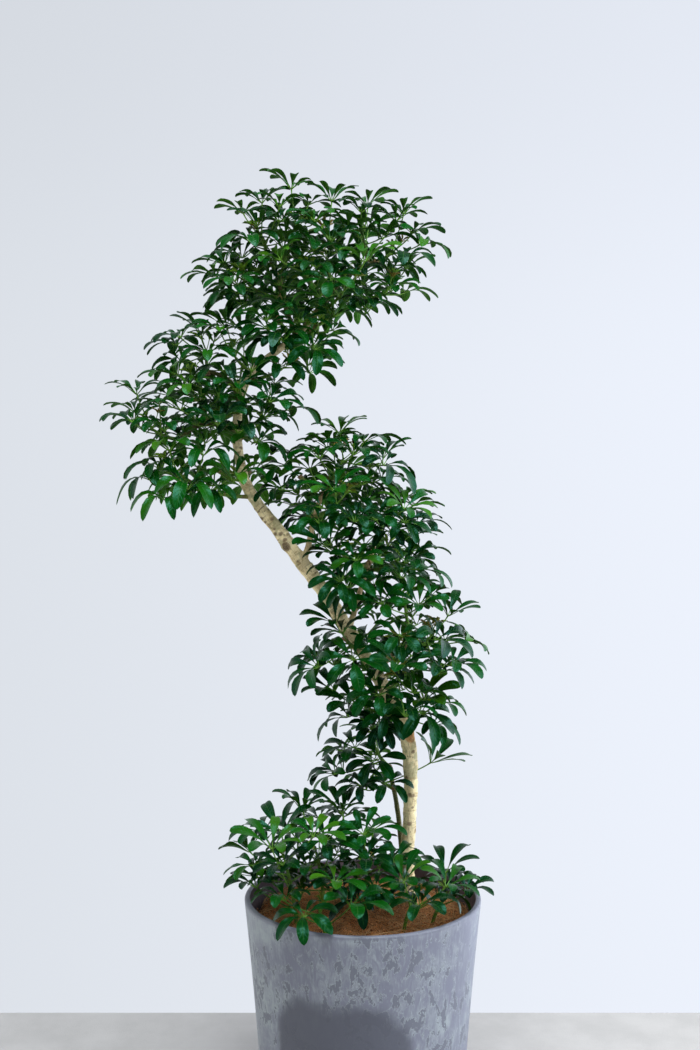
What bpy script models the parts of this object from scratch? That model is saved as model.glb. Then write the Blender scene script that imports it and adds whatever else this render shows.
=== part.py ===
"""A compacta dwarf umbrella tree with a zigzag trunk, standing with low plants of its kind in a
tapered stone-look pot. Metres in the scene, millimetres in the values below, +Z up, the viewer
of the front on the -Y side. The origin is the centre of the pot's underside."""

import math
import random

import bmesh
import bpy
from mathutils import Vector
from mathutils.bvhtree import BVHTree

MM = 0.001
GAP = 0.3  # clearance between two pieces that rest on each other
WELD = 0.001  # points closer than this are one
UP = Vector((0, 0, 1))

# Pot: a turned shell that widens upwards in a slight curve, with a rounded lip
POT_HEIGHT = 340
POT_BASE_RADIUS = 155
POT_TAPER = 22
POT_FLARE = 8
POT_WALL = 8.5
POT_FLOOR = 12
POT_FOOT_ROUND = 5
POT_SIDES = 32
POT_OUTER_HEIGHTS = (170, 333)
POT_INNER_HEIGHTS = (200,)
LIP_ROUND = 3.2
POT_SHARP_ANGLE = 40
DRAIN_RADIUS = 8
DRAIN_CIRCLE = 85
DRAIN_COUNT = 4
DRAIN_SIDES = 8

# Filling: potting soil, and a shaggy mat of coconut fibre on top of it
SOIL_TOP = 292
FIBRE_EDGE_TOP = 306
FIBRE_MOUND = 16
FIBRE_MOUND_AT = (-30, 10)
FIBRE_MOUND_RADIUS = 105
FIBRE_LUMP = 3.5
FIBRE_EDGE_ROOM = 3
FIBRE_EDGE_DROP = 4
FIBRE_RINGS = (0.25, 0.5, 0.76, 1.0)
FIBRE_SIDES = 20

# Trunk: points along its middle with its radius there
TRUNK = [
    ((76, 36, 190), 14.0), ((76, 35, 300), 13.2), ((73, 35, 345), 12.0),
    ((71, 35, 395), 11.2), ((76, 31, 455), 10.8), ((77, 30, 517), 11.2),
    ((74, 26, 568), 11.8), ((64, 22, 609), 12.6), ((39, 14, 651), 11.0),
    ((12, 8, 700), 10.8), ((-23, 0, 753), 11.0), ((-64, -5, 818), 11.0),
    ((-98, -8, 863), 11.4), ((-130, -8, 907), 10.4), ((-162, -5, 948), 9.2),
    ((-184, 0, 985), 8.6), ((-195, 5, 1031), 7.8), ((-198, 8, 1076), 7.4),
    ((-191, 5, 1122), 6.6), ((-172, 0, 1161), 6.0), ((-140, 0, 1187), 5.4),
    ((-102, 5, 1218), 5.0), ((-70, 8, 1257), 4.6), ((-50, 8, 1292), 4.0),
]
TRUNK_SIDES = 7
TRUNK_STEPS = 32

# Boughs: points from inside the trunk outwards, and the radii at the root and at the end
BOUGHS = {
    "crown_right": ([(-60, 8, 1268), (-45, 6, 1290), (-12, 0, 1318), (22, -8, 1330)], 4.2, 3.0),
    "crown_left": ([(-104, 5, 1216), (-114, 8, 1240), (-126, 10, 1275), (-134, 8, 1312)], 4.4, 3.0),
    "left_low": ([(-197, 6, 1052), (-218, -6, 1072), (-252, -18, 1074), (-284, -25, 1050)], 5.0, 3.2),
    "left_high": ([(-193, 5, 1112), (-203, 5, 1136), (-220, 5, 1152), (-244, 5, 1160)], 4.6, 3.2),
    "middle": ([(-93, -8, 856), (-84, -10, 890), (-72, -14, 940), (-60, -16, 974)], 5.4, 3.4),
    "right_high": ([(-22, 0, 752), (-12, 8, 786), (4, 12, 840), (20, 10, 892)], 5.2, 3.2),
    "right_low": ([(22, 10, 684), (44, -2, 712), (74, -10, 728)], 5.0, 3.4),
}
BOUGH_SIDES = 5
BOUGH_STEPS = 5

# A second, thinner stem that rises from the soil behind the trunk's left side
SECOND_STEM = [(66, 64, 250), (66, 61, 330), (63, 56, 400), (55, 49, 470), (42, 45, 530)]
SECOND_STEM_RADII = (5.5, 3.4)
SECOND_STEM_STEPS = 8

# Leafy shoots: where the growing tip is, where the leaves that the front view shows have their
# hubs, and how many more leaves stand round the tip
SHOOTS = {
    "crown_1": ((-160, 0, 1370), [(-158, 0, 1424), (-128, -35, 1384), (-172, -40, 1352)], 2),
    "crown_2": ((-105, 10, 1388), [(-112, 0, 1446), (-86, 10, 1424)], 2),
    "crown_3": ((-55, -10, 1368), [(-48, -10, 1424), (-74, -60, 1378)], 2),
    "crown_4": ((0, 5, 1368), [(8, 5, 1424), (-4, -45, 1396)], 2),
    "crown_5": ((46, 0, 1345), [(56, 0, 1398), (78, -5, 1376), (36, -40, 1368)], 2),
    "crown_6": ((35, -10, 1285), [(62, -20, 1322), (42, -52, 1274), (66, 5, 1284)], 1),
    "crown_7": ((-30, -50, 1275), [(0, -92, 1304), (-6, -80, 1270), (-50, -92, 1282)], 1),
    "crown_8": ((-90, -45, 1305), [(-125, -65, 1318), (-70, -85, 1304)], 2),
    "crown_9": ((-180, -15, 1295), [(-216, -15, 1324), (-196, -50, 1290)], 2),
    "crown_10": ((-130, -30, 1235), [(-95, -72, 1224), (-146, -60, 1216)], 2),
    "crown_11": ((-70, -25, 1225), [(-44, -35, 1206), (-72, -62, 1184)], 2),
    "crown_12": ((-55, 80, 1345), [(-30, 100, 1368)], 4),
    "crown_13": ((-125, 75, 1305), [], 4),
    "left_1": ((-200, -5, 1180), [(-212, -5, 1226), (-182, 12, 1212)], 1),
    "left_2": ((-245, 0, 1190), [(-250, 0, 1222), (-292, 0, 1200), (-238, -50, 1178)], 1),
    "left_3": ((-250, -25, 1135), [(-286, -30, 1150), (-262, -62, 1128)], 1),
    "left_4": (
        (-325, -25, 1065),
        [(-350, -25, 1120), (-316, -18, 1106), (-346, -28, 1066), (-300, -65, 1060)],
        0,
    ),
    "left_5": ((-285, -40, 1000), [(-322, -50, 986), (-262, -86, 972), (-292, -70, 1030)], 1),
    "left_6": ((-185, -30, 1110), [(-186, -76, 1126), (-168, -60, 1146)], 2),
    "left_7": ((-220, -45, 1080), [(-216, -85, 1066)], 2),
    "left_8": ((-224, -10, 1002), [(-198, -50, 984), (-230, -62, 974)], 1),
    "left_9": ((-125, -5, 1165), [(-84, -10, 1168), (-128, -40, 1160)], 0),
    "left_10": ((-175, 12, 1065), [(-158, 12, 1088), (-166, -20, 1046), (-178, -30, 1010)], 0),
    "left_11": ((-255, 60, 1100), [], 4),
    "middle_1": ((-95, -20, 990), [(-100, -20, 1064), (-118, -20, 1010), (-122, -50, 972)], 1),
    "middle_2": ((-30, -10, 1020), [(-36, -10, 1062), (-66, -42, 1020), (2, -10, 1048)], 1),
    "middle_3": ((10, 0, 990), [(40, 0, 1030), (30, -30, 984)], 1),
    "middle_4": ((-40, -50, 950), [(-42, -100, 968)], 2),
    "middle_5": ((35, 0, 930), [(64, 0, 962), (84, 0, 918), (20, -62, 926)], 1),
    "middle_6": ((55, -10, 865), [(66, -40, 860), (94, -10, 850)], 1),
    "middle_7": ((-30, -35, 875), [(-50, -58, 888), (-10, -85, 866), (-20, -60, 824)], 1),
    "middle_8": ((-30, 60, 960), [], 4),
    "middle_9": ((35, 70, 880), [], 4),
    "lower_1": ((65, 0, 795), [(80, 0, 818), (28, -70, 800)], 2),
    "lower_2": ((-25, -30, 740), [(-42, -42, 768), (-16, -76, 716), (-66, -20, 716)], 1),
    "lower_3": ((55, -30, 730), [(104, -40, 752), (56, -80, 752)], 1),
    "lower_4": ((100, 0, 735), [(134, 0, 776), (162, 0, 738), (136, -40, 702)], 1),
    "lower_5": ((55, -55, 685), [(52, -100, 706), (24, -80, 664)], 2),
    "lower_6": ((0, 10, 635), [(-42, -16, 662), (-8, 20, 640)], 1),
    "lower_7": ((85, 10, 615), [(96, -6, 644), (112, 10, 602)], 1),
    "lower_8": ((80, 65, 705), [], 4),
    "foot_1": ((20, 38, 562), [(20, 56, 598), (-12, 14, 566), (22, 20, 548), (-44, 25, 522)], 2),
    "foot_2": ((30, 40, 505), [(22, 58, 520), (-4, 10, 506), (28, 6, 488), (112, 40, 536)], 2),
}
BASE_PLANTS = {
    "base_1": (
        (-118, -60, 408),
        [(-156, -20, 444), (-162, -66, 404), (-120, -94, 414), (-124, -52, 448)],
        3,
    ),
    "base_2": (
        (-70, -20, 402),
        [(-92, -20, 474), (-56, -70, 444), (-112, -10, 440), (-30, -46, 420)],
        4,
    ),
    "base_3": (
        (4, -26, 388),
        [(-32, -20, 470), (16, -30, 448), (4, -76, 416), (48, -50, 402)],
        4,
    ),
    "base_4": (
        (-66, -104, 352),
        [(-42, -122, 396), (-120, -116, 364), (-86, -146, 356), (-64, -78, 404)],
        2,
    ),
    "base_5": (
        (70, -85, 348),
        [(34, -130, 354), (84, -122, 356), (58, -80, 396), (112, -72, 358)],
        2,
    ),
    "base_6": (
        (124, -45, 346),
        [(152, -84, 360), (128, -40, 384), (142, -28, 352)],
        2,
    ),
}

# Stems of the shoots and low plants
STEM_SIDES = 4
STEM_STEPS = 3
STEM_ROOT_RADIUS = 3.2
STEM_TIP_RADIUS = 2.3
BASE_STEM_ROOT_RADIUS = 3.6
BASE_STEM_DEPTH = 34
BASE_LEAN = 0.85
BASE_BEND = (0.4, 0.5)  # where a low plant's stem bends: share of the way across, and up
LEAST_STEEPNESS = 0.35
FLAT_GROWTH_COST = 1.6
SEAT_FAR = 30
SEAT_TURN = 0.6
SEAT_LEAST_FACING = 0.35
SEAT_TRIES = 16
SEAT_STEP = 0.25
SEAT_ROOM = 6
STEM_ROOM = 1.0

# Compound leaves: leaflets round a hub at the end of a stalk, which rise from it and arch over.
# Where a value has no unit it is a share of the leaflet's length.
LEAFLETS_SEEN = 7
LEAFLETS_MORE = 6
LEAFLET_LENGTH = (52, 66)
LEAFLET_WIDTH = 0.37
LEAFLET_WIDEST = 0.62
LEAFLET_REACH = 0.96
SMALLEST_LEAFLET = 0.74
LENGTH_SPREAD = 0.07
TURN_SPREAD = 4
RISE_SPREAD = 0.07
STALK_SIDE_OPENING = 62
LEAF_RISE = (0.08, 0.5)
TOP_LEAF_RISE = (0.4, 0.75)
SHOULDER_LIFT = 0.05
TIP_SAG = 0.2
GRAVITY_SAG = 0.1
NOTCH_RADIUS = 3.2
HUB_TOP = 1.2
HUB_UNDER = 1.6
STALK_RADIUS = 1.1
STALK_ROOT_RADIUS = 1.0

# The masses that the leaves form, as ovals in the front view, drawn where the trunk stands: middle
# across and up, half width, half height and lean. The trunk is bare between these heights.
LEAF_MASSES = [
    (-118, 1402, 86, 70, -1), (36, 1393, 106, 47, -22), (-31, 1307, 96, 74, -24), (56, 1303, 59, 49, -11),
    (-184, 1300, 77, 79, -14), (-114, 1208, 101, 63, -5), (-255, 1185, 85, 69, 1), (-306, 1071, 67, 111, 41),
    (-41, 1062, 115, 32, -16), (-215, 1054, 154, 78, 37), (-62, 972, 131, 88, -19), (17, 883, 121, 111, -28),
    (83, 731, 116, 79, 16), (-21, 708, 83, 99, 20), (25, 553, 147, 65, 40), (-67, 412, 149, 95, 3),
    (1, 372, 181, 43, -11),
]
VIEWER_MIDDLE = (-20, 918)
VIEWER_DISTANCE = 1730
BARE_HEIGHTS = [(430, 604), (776, 985)]
BARE_WIDTH = 17

# How leaves are placed on a shoot
TOP_LEAF_DEPTH = 4
LEAFY_LENGTH = 46
STALK_LENGTH = (50, 74)
STALK_LIFT = (-0.25, 0.95)
OUTWARD_FACING = 0.5
UPWARD_FACING = 0.75
TILT_AXIS_FACING = Vector((0.3, -0.9, 0.1))
FACING_TILT = 0.25
FRONT_LEAN = 0.3
LEAF_SPIN = 20
LEAST_FACING = 0.2
HUB_SHIFT = (10, 34, 10)
LEAF_SHRINK = 0.14
PLACE_TRIES = 260
MORE_TRIES = 220
LOOSENESS_COST = 0.3
GOOD_SHARE = 0.93
CLEAR_SHIFT = 0.7
RIM_ROOM = 15

BARK = ((0.56, 0.47, 0.34), 0.85)
YOUNG_BARK = ((0.33, 0.27, 0.13), 0.8)
LEAF_GREEN = ((0.035, 0.13, 0.03), 0.35)
STONE_RESIN = ((0.29, 0.29, 0.35), 0.6)
SOIL_BROWN = ((0.06, 0.035, 0.02), 0.95)
FIBRE_BROWN = ((0.28, 0.13, 0.05), 0.95)


def clear_scene():
    for old in list(bpy.data.objects):
        bpy.data.objects.remove(old)


def material(name, look):
    colour, roughness = look
    made = bpy.data.materials.new(name)
    made.use_nodes = True
    shader = made.node_tree.nodes["Principled BSDF"]
    shader.inputs["Base Color"].default_value = (*colour, 1)
    shader.inputs["Roughness"].default_value = roughness
    shader.inputs["Metallic"].default_value = 0
    return made


def add_object(name, points, faces, finish=None):
    """An object in the scene from points in millimetres."""
    mesh = bpy.data.meshes.new(name)
    mesh.from_pydata([Vector(p) * MM for p in points], [], faces)
    mesh.validate()
    made = bpy.data.objects.new(name, mesh)
    bpy.context.scene.collection.objects.link(made)
    if finish:
        mesh.materials.append(finish)
    return made


def join_by_union(body, others):
    """Fuses the other objects into body and removes them."""
    group = bpy.data.collections.new(body.name + "_parts")
    for other in others:
        group.objects.link(other)
    union = body.modifiers.new("union", "BOOLEAN")
    union.operation = "UNION"
    union.operand_type = "COLLECTION"
    union.collection = group
    union.solver = "MANIFOLD"
    bake(body)
    for other in others:
        bpy.data.objects.remove(other)
    bpy.data.collections.remove(group)


def cut_away(body, cutter):
    cut = body.modifiers.new("cut", "BOOLEAN")
    cut.operation = "DIFFERENCE"
    cut.object = cutter
    cut.solver = "MANIFOLD"
    bake(body)
    bpy.data.objects.remove(cutter)


def bake(body):
    """Applies the modifiers to the object's mesh."""
    graph = bpy.context.evaluated_depsgraph_get()
    body.data = bpy.data.meshes.new_from_object(body.evaluated_get(graph))
    body.modifiers.clear()


def smooth_path(points, steps):
    """Evenly spread points on a smooth curve through the given ones, which may carry extra values."""
    rows = [tuple(p) for p in points]
    rows = [rows[0], *rows, rows[-1]]
    fine = []
    for i in range(1, len(rows) - 2):
        for k in range(8):
            fine.append(catmull(rows[i - 1 : i + 3], k / 8))
    fine.append(rows[-2])
    lengths = [0]
    for a, b in zip(fine, fine[1:]):
        lengths.append(lengths[-1] + math.dist(a[:3], b[:3]))
    spread = []
    at = 0
    for i in range(steps + 1):
        wanted = lengths[-1] * i / steps
        while at < len(fine) - 2 and lengths[at + 1] < wanted:
            at += 1
        share = (wanted - lengths[at]) / (lengths[at + 1] - lengths[at])
        spread.append(tuple(a + (b - a) * share for a, b in zip(fine[at], fine[at + 1])))
    return spread


def catmull(four, t):
    p0, p1, p2, p3 = four
    return tuple(
        0.5 * (2 * b + (c - a) * t + (2 * a - 5 * b + 4 * c - d) * t * t + (3 * b - a - 3 * c + d) * t**3)
        for a, b, c, d in zip(p0, p1, p2, p3)
    )


def tube(points, radii, sides):
    """Points and faces of a closed round bar along the points."""
    points = [Vector(p) for p in points]
    verts = []
    side = Vector((0, -1, 0))
    for i, point in enumerate(points):
        along = (points[min(i + 1, len(points) - 1)] - points[max(i - 1, 0)]).normalized()
        side = (side - along * side.dot(along)).normalized()
        other = along.cross(side)
        for k in range(sides):
            turn = 2 * math.pi * k / sides
            verts.append(point + (side * math.cos(turn) + other * math.sin(turn)) * radii[i])
    faces = []
    for i in range(len(points) - 1):
        for k in range(sides):
            a, b = i * sides + k, i * sides + (k + 1) % sides
            faces += [(a, b, b + sides), (a, b + sides, a + sides)]
    faces.append(tuple(reversed(range(sides))))
    faces.append(tuple(range(len(verts) - sides, len(verts))))
    return verts, faces


def turned(name, profile, sides, finish):
    """A solid turned about Z from (radius, height) pairs, which start and end on the axis."""
    shape = bmesh.new()
    line = [shape.verts.new(Vector((radius, 0, height)) * MM) for radius, height in profile]
    edges = [shape.edges.new(pair) for pair in zip(line, line[1:])]
    bmesh.ops.spin(
        shape, geom=line + edges, cent=(0, 0, 0), axis=UP, angle=2 * math.pi, steps=sides, use_merge=True
    )
    bmesh.ops.remove_doubles(shape, verts=shape.verts, dist=WELD * MM)
    bmesh.ops.recalc_face_normals(shape, faces=shape.faces)
    mesh = bpy.data.meshes.new(name)
    shape.to_mesh(mesh)
    shape.free()
    mesh.materials.append(finish)
    made = bpy.data.objects.new(name, mesh)
    bpy.context.scene.collection.objects.link(made)
    return made


def pot_radius(height):
    rise = height / POT_HEIGHT
    return POT_BASE_RADIUS + POT_TAPER * rise + POT_FLARE * rise * rise


def make_pot():
    lip_radius = pot_radius(POT_HEIGHT)
    foot = [(0, 0), (POT_BASE_RADIUS - POT_FOOT_ROUND, 0), (POT_BASE_RADIUS, POT_FOOT_ROUND)]
    outer = [(pot_radius(h), h) for h in POT_OUTER_HEIGHTS]
    lip = [(lip_radius - LIP_ROUND * 0.3, POT_HEIGHT - LIP_ROUND * 0.6)]
    lip += [(lip_radius - LIP_ROUND, POT_HEIGHT), (lip_radius - POT_WALL + LIP_ROUND * 0.6, POT_HEIGHT)]
    lip += [(lip_radius - POT_WALL, POT_HEIGHT - LIP_ROUND * 0.6)]
    inner = [(pot_radius(h) - POT_WALL, h) for h in POT_INNER_HEIGHTS]
    floor = [(pot_radius(POT_FLOOR) - POT_WALL, POT_FLOOR), (0, POT_FLOOR)]
    profile = foot + outer + lip + inner + floor
    pot = turned("pot", profile, POT_SIDES, material("stone_resin", STONE_RESIN))
    for i in range(DRAIN_COUNT):
        turn = 2 * math.pi * (i + 0.5) / DRAIN_COUNT
        middle = Vector((math.cos(turn), math.sin(turn), 0)) * DRAIN_CIRCLE
        through = UP * POT_FLOOR
        hole = tube([middle - through, middle + through * 2], [DRAIN_RADIUS] * 2, DRAIN_SIDES)
        cut_away(pot, add_object("drain", *hole))
    pot.data.shade_smooth()
    pot.data.set_sharp_from_angle(angle=math.radians(POT_SHARP_ANGLE))
    return pot


def make_soil():
    profile = [(0, POT_FLOOR + GAP)]
    for height in (POT_FLOOR + GAP, *POT_INNER_HEIGHTS, SOIL_TOP):
        profile.append((pot_radius(height) - POT_WALL - GAP * 2, height))
    profile.append((0, SOIL_TOP))
    return turned("soil", profile, POT_SIDES, material("potting_soil", SOIL_BROWN))


def fibre_height(x, y):
    """Top of the fibre mat: a low mound near the middle, with lumps all over."""
    from_mound = math.dist((x, y), FIBRE_MOUND_AT) / FIBRE_MOUND_RADIUS
    mound = FIBRE_MOUND * max(0, 1 - from_mound * from_mound)
    lumps = math.sin(x / 11 + 1.3 * math.sin(y / 17)) * math.sin(y / 13 + 1.1 * math.sin(x / 19))
    return FIBRE_EDGE_TOP + mound + FIBRE_LUMP * lumps


def make_fibre():
    """A mat with a lumpy top and a flat underside on the soil."""
    edge = pot_radius(SOIL_TOP) - POT_WALL - FIBRE_EDGE_ROOM
    verts = [Vector((0, 0, fibre_height(0, 0)))]
    for i, ring in enumerate(FIBRE_RINGS):
        for k in range(FIBRE_SIDES):
            turn = 2 * math.pi * (k + 0.5 * (i % 2)) / FIBRE_SIDES
            x, y = edge * ring * math.cos(turn), edge * ring * math.sin(turn)
            drop = FIBRE_EDGE_DROP if ring == FIBRE_RINGS[-1] else 0
            verts.append(Vector((x, y, fibre_height(x, y) - drop)))
    verts += [Vector((v.x, v.y, SOIL_TOP + GAP)) for v in verts[-FIBRE_SIDES:]]
    faces = [(0, 1 + k, 1 + (k + 1) % FIBRE_SIDES) for k in range(FIBRE_SIDES)]
    for start in range(1, 1 + len(FIBRE_RINGS) * FIBRE_SIDES, FIBRE_SIDES):
        for k in range(FIBRE_SIDES):
            a, b = start + k, start + (k + 1) % FIBRE_SIDES
            faces += [(a, a + FIBRE_SIDES, b + FIBRE_SIDES), (a, b + FIBRE_SIDES, b)]
    faces.append(tuple(reversed(range(len(verts) - FIBRE_SIDES, len(verts)))))
    return add_object("fibre_mat", verts, faces, material("coconut_fibre", FIBRE_BROWN))


def cut_stem_hole(ground, points, radii, sides):
    """Cuts the plain hole that a stem stands in: the stem's own shape, a hair wider."""
    foot = Vector(points[0]) - UP * GAP
    wider = tube([foot, *points[1:]], [r + GAP for r in radii], sides)
    for piece in ground:
        cut_away(piece, add_object("hole", *wider))


def make_trunk(ground):
    """The trunk with its boughs, grown as one piece, standing in a hole in the ground."""
    path = smooth_path([(*p, r) for p, r in TRUNK], TRUNK_STEPS)
    points, radii = [Vector(p[:3]) for p in path], [p[3] for p in path]
    trunk = add_object("trunk", *tube(points, radii, TRUNK_SIDES), material("bark", BARK))
    cut_stem_hole(ground, points, radii, TRUNK_SIDES)
    parts = []
    for name, (through, root, end) in BOUGHS.items():
        line = smooth_path(through, BOUGH_STEPS)
        radii = [root + (end - root) * i / BOUGH_STEPS for i in range(BOUGH_STEPS + 1)]
        parts.append(add_object(name, *tube(line, radii, BOUGH_SIDES)))
    join_by_union(trunk, parts)
    trunk.data.shade_smooth()
    return trunk


def make_second_stem(ground):
    line = [Vector(p) for p in smooth_path(SECOND_STEM, SECOND_STEM_STEPS)]
    thick, thin = SECOND_STEM_RADII
    radii = [thick + (thin - thick) * i / SECOND_STEM_STEPS for i in range(SECOND_STEM_STEPS + 1)]
    cut_stem_hole(ground, line, radii, BOUGH_SIDES)
    stem = add_object("second_stem", *tube(line, radii, BOUGH_SIDES), material("young_bark", YOUNG_BARK))
    stem.data.shade_smooth()
    return stem


def wood_points():
    """Points along the trunk, the boughs and the second stem, above the pot."""
    points = smooth_path([p for p, _ in TRUNK], 160) + smooth_path(SECOND_STEM, 40)
    for through, _, _ in BOUGHS.values():
        points += smooth_path(through, 24)
    return [Vector(p) for p in points if p[2] > POT_HEIGHT]


def growth_points(tip, lines):
    """Points of the wood that a shoot with this tip may grow from, the likeliest first: near it,
    and lower."""
    found = []
    for point in lines:
        reach = tip - point
        steepness = reach.z - math.hypot(reach.x, reach.y) * LEAST_STEEPNESS
        found.append((reach.length + FLAT_GROWTH_COST * max(0, -steepness), point))
    return [point for _, point in sorted(found, key=lambda pair: pair[0])]


def stem_curve(root, tip, steps):
    """A shoot leaves the wood sideways and turns up towards its tip."""
    reach = tip - root
    flat = Vector((reach.x, reach.y, 0))
    outward = flat.normalized() if flat.length > 1 else Vector((0, -1, 0))
    leaving = (reach.normalized() + outward * 0.25).normalized()
    rising = (UP * 0.75 + outward * 0.5).normalized()
    a, b, c, d = root, root + leaving * reach.length * 0.35, tip - rising * reach.length * 0.3, tip
    curve = []
    for i in range(steps + 1):
        t = i / steps
        s = 1 - t
        curve.append(a * s**3 + b * 3 * s * s * t + c * 3 * s * t * t + d * t**3)
    return curve


def seated_stem(root, tip, wood, spare=0):
    """A stem that ends on the bark, a hair off it. Spare widens it, to test the room round it."""
    curve = stem_curve(root, tip, STEM_STEPS)
    towards = (curve[1] - curve[0]).normalized()
    hit, normal, _, _ = wood.ray_cast(curve[1] + towards * SEAT_FAR, -towards)
    if hit is None:
        return None
    normal = (normal + towards * SEAT_TURN).normalized()
    seat = hit + normal * GAP
    rest = [p for p in curve[1:] if (p - seat).dot(towards) > SEAT_ROOM] or [curve[-1]]
    points = [seat, *rest]
    taper = (STEM_ROOT_RADIUS - STEM_TIP_RADIUS) / (len(points) - 1)
    radii = [STEM_ROOT_RADIUS + spare - taper * i for i in range(len(points))]
    for _ in range(SEAT_TRIES):
        verts, faces = tube(points, radii, STEM_SIDES)
        for k in range(STEM_SIDES):
            off = (seat - verts[k]).dot(normal) / max(SEAT_LEAST_FACING, towards.dot(normal))
            verts[k] += towards * off
        if not wood.overlap(BVHTree.FromPolygons(verts, faces)):
            return points, verts, faces
        seat += towards * SEAT_STEP
        points[0] = seat
    return None


def leaf_axes(normal, away):
    """Two directions in the leaf's plane, the first pointing away from the stalk's side."""
    flat = away - normal * away.dot(normal)
    if flat.length < 0.05:
        flat = Vector((1, 0, 0)) - normal * normal.x
    first = flat.normalized()
    return first, normal.cross(first)


def leaflet_turns(count):
    """Angles of the leaflets from the leaf's front, leaving the stalk's side a little open."""
    step = (360 - STALK_SIDE_OPENING) / (count - 1)
    return [math.radians(-180 + STALK_SIDE_OPENING / 2 + step * i) for i in range(count)]


def leaf_solid(root, hub, normal, count, draw, rises, shrink=1):
    """Points and faces of one compound leaf with its stalk, as a closed solid. Each leaflet is a
    folded blade: it runs from the hub to its tip, and its widest place stands above that line."""
    stalk = (hub - root).normalized()
    first, second = leaf_axes(normal, stalk)
    spin = math.radians(draw.uniform(-LEAF_SPIN, LEAF_SPIN))
    length = draw.uniform(*LEAFLET_LENGTH) * shrink
    leaf_rise = draw.uniform(*rises)
    turns = leaflet_turns(count)
    step = turns[1] - turns[0]
    verts = [hub + normal * HUB_TOP]
    for i, even in enumerate(turns):
        before = spin + (even - step / 2 if i else -math.pi)
        turn = spin + even + math.radians(draw.uniform(-TURN_SPREAD, TURN_SPREAD))
        rise = leaf_rise + draw.uniform(-RISE_SPREAD, RISE_SPREAD)
        size = length * (1 - (1 - SMALLEST_LEAFLET) * (1 - math.cos(even)) / 2)
        size *= 1 + draw.uniform(-LENGTH_SPREAD, LENGTH_SPREAD)
        notch = first * math.cos(before) + second * math.sin(before)
        out = first * math.cos(turn) + second * math.sin(turn)
        side = normal.cross(out)
        shoulder = out * LEAFLET_WIDEST + normal * (LEAFLET_WIDEST * rise + SHOULDER_LIFT)
        tip = out * LEAFLET_REACH + normal * (LEAFLET_REACH * rise - TIP_SAG) - UP * GRAVITY_SAG
        verts.append(hub + notch * NOTCH_RADIUS)
        verts.append(hub + (shoulder - side * LEAFLET_WIDTH / 2) * size)
        verts.append(hub + tip * size)
        verts.append(hub + (shoulder + side * LEAFLET_WIDTH / 2) * size)
    rim = len(verts) - 1
    under = len(verts)
    for k in range(3):
        turn = spin - math.pi + 2 * math.pi * (k + 0.5) / 3
        spoke = first * math.cos(turn) + second * math.sin(turn)
        verts.append(hub - normal * HUB_UNDER + spoke * STALK_RADIUS)
    for k in range(3):
        spoke = verts[under + k] - (hub - normal * HUB_UNDER)
        flat = (spoke - stalk * spoke.dot(stalk)).normalized()
        verts.append(root + flat * STALK_ROOT_RADIUS)
    return verts, leaf_faces(rim, under)


def leaf_faces(rim, under):
    """Faces from the hub's top to the rim's points, and from them to the stalk's three edges."""
    faces = []
    for i in range(rim):
        a, b = 1 + i, 1 + (i + 1) % rim
        here, after = under + 3 * i // rim, under + 3 * ((i + 1) % rim) // rim
        faces += [(0, a, b), (b, a, here)]
        if after != here:
            faces.append((b, here, after))
    for k in range(3):
        here, after = under + k, under + (k + 1) % 3
        faces += [(here, here + 3, after + 3), (here, after + 3, after)]
    faces.append((under + 5, under + 4, under + 3))
    return faces


def leaf_normal(stalk, tilt, lean):
    """A leaf faces between straight up and the way its stalk points."""
    face = (stalk * OUTWARD_FACING + UP * UPWARD_FACING).normalized()
    side = face.cross(TILT_AXIS_FACING).normalized()
    return (face + side * tilt + Vector((0, -1, 0)) * lean).normalized()


class Room:
    """What already stands in the tree's space, to place the next leaf clear of it."""

    def __init__(self):
        self.solids = []
        self.hubs = []

    def add(self, verts, faces, owner):
        middle = sum(verts, Vector()) / len(verts)
        radius = max((v - middle).length for v in verts)
        self.solids.append((middle, radius, BVHTree.FromPolygons(verts, faces), owner))

    def add_leaf(self, solid, hub, owner):
        self.add(*solid, owner)
        self.hubs.append(hub)

    def is_clear(self, verts, faces, shift, skip):
        """Whether a solid crosses nothing, as it is and moved by the shift either way."""
        middle = sum(verts, Vector()) / len(verts)
        radius = max((v - middle).length for v in verts)
        near = [
            tree
            for centre, reach, tree, owner in self.solids
            if owner not in skip and (centre - middle).length < reach + radius
        ]
        for offset in (0, 1, -1):
            moved = BVHTree.FromPolygons([v + shift * offset for v in verts], faces)
            if any(tree.overlap(moved) for tree in near):
                return False
        return True

    def distance_to_hubs(self, point):
        return min([(point - hub).length for hub in self.hubs] or [math.inf])


def share_in_masses(points):
    """The share of these points that the front view shows in the masses of leaves and not in front
    of the bare trunk."""
    inside = 0
    for point in points:
        grows = VIEWER_DISTANCE / (VIEWER_DISTANCE + point.y)
        across = VIEWER_MIDDLE[0] + (point.x - VIEWER_MIDDLE[0]) * grows
        up = VIEWER_MIDDLE[1] + (point.z - VIEWER_MIDDLE[1]) * grows
        inside += in_masses(across, up) and not before_bare_trunk(across, up, point.y)
    return inside / len(points)


def in_masses(across, up):
    for middle, height, half_width, half_height, lean in LEAF_MASSES:
        cos, sin = math.cos(math.radians(lean)), math.sin(math.radians(lean))
        along = (across - middle) * cos + (up - height) * sin
        aside = (up - height) * cos - (across - middle) * sin
        if math.hypot(along / half_width, aside / half_height) < 1:
            return True
    return False


def before_bare_trunk(across, up, depth):
    if not any(low < up < high for low, high in BARE_HEIGHTS):
        return False
    for (a, _), (b, _) in zip(TRUNK, TRUNK[1:]):
        if a[2] <= up < b[2]:
            share = (up - a[2]) / (b[2] - a[2])
            trunk_x = a[0] + (b[0] - a[0]) * share
            return depth < a[1] and abs(across - trunk_x) < BARE_WIDTH
    return False


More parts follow.
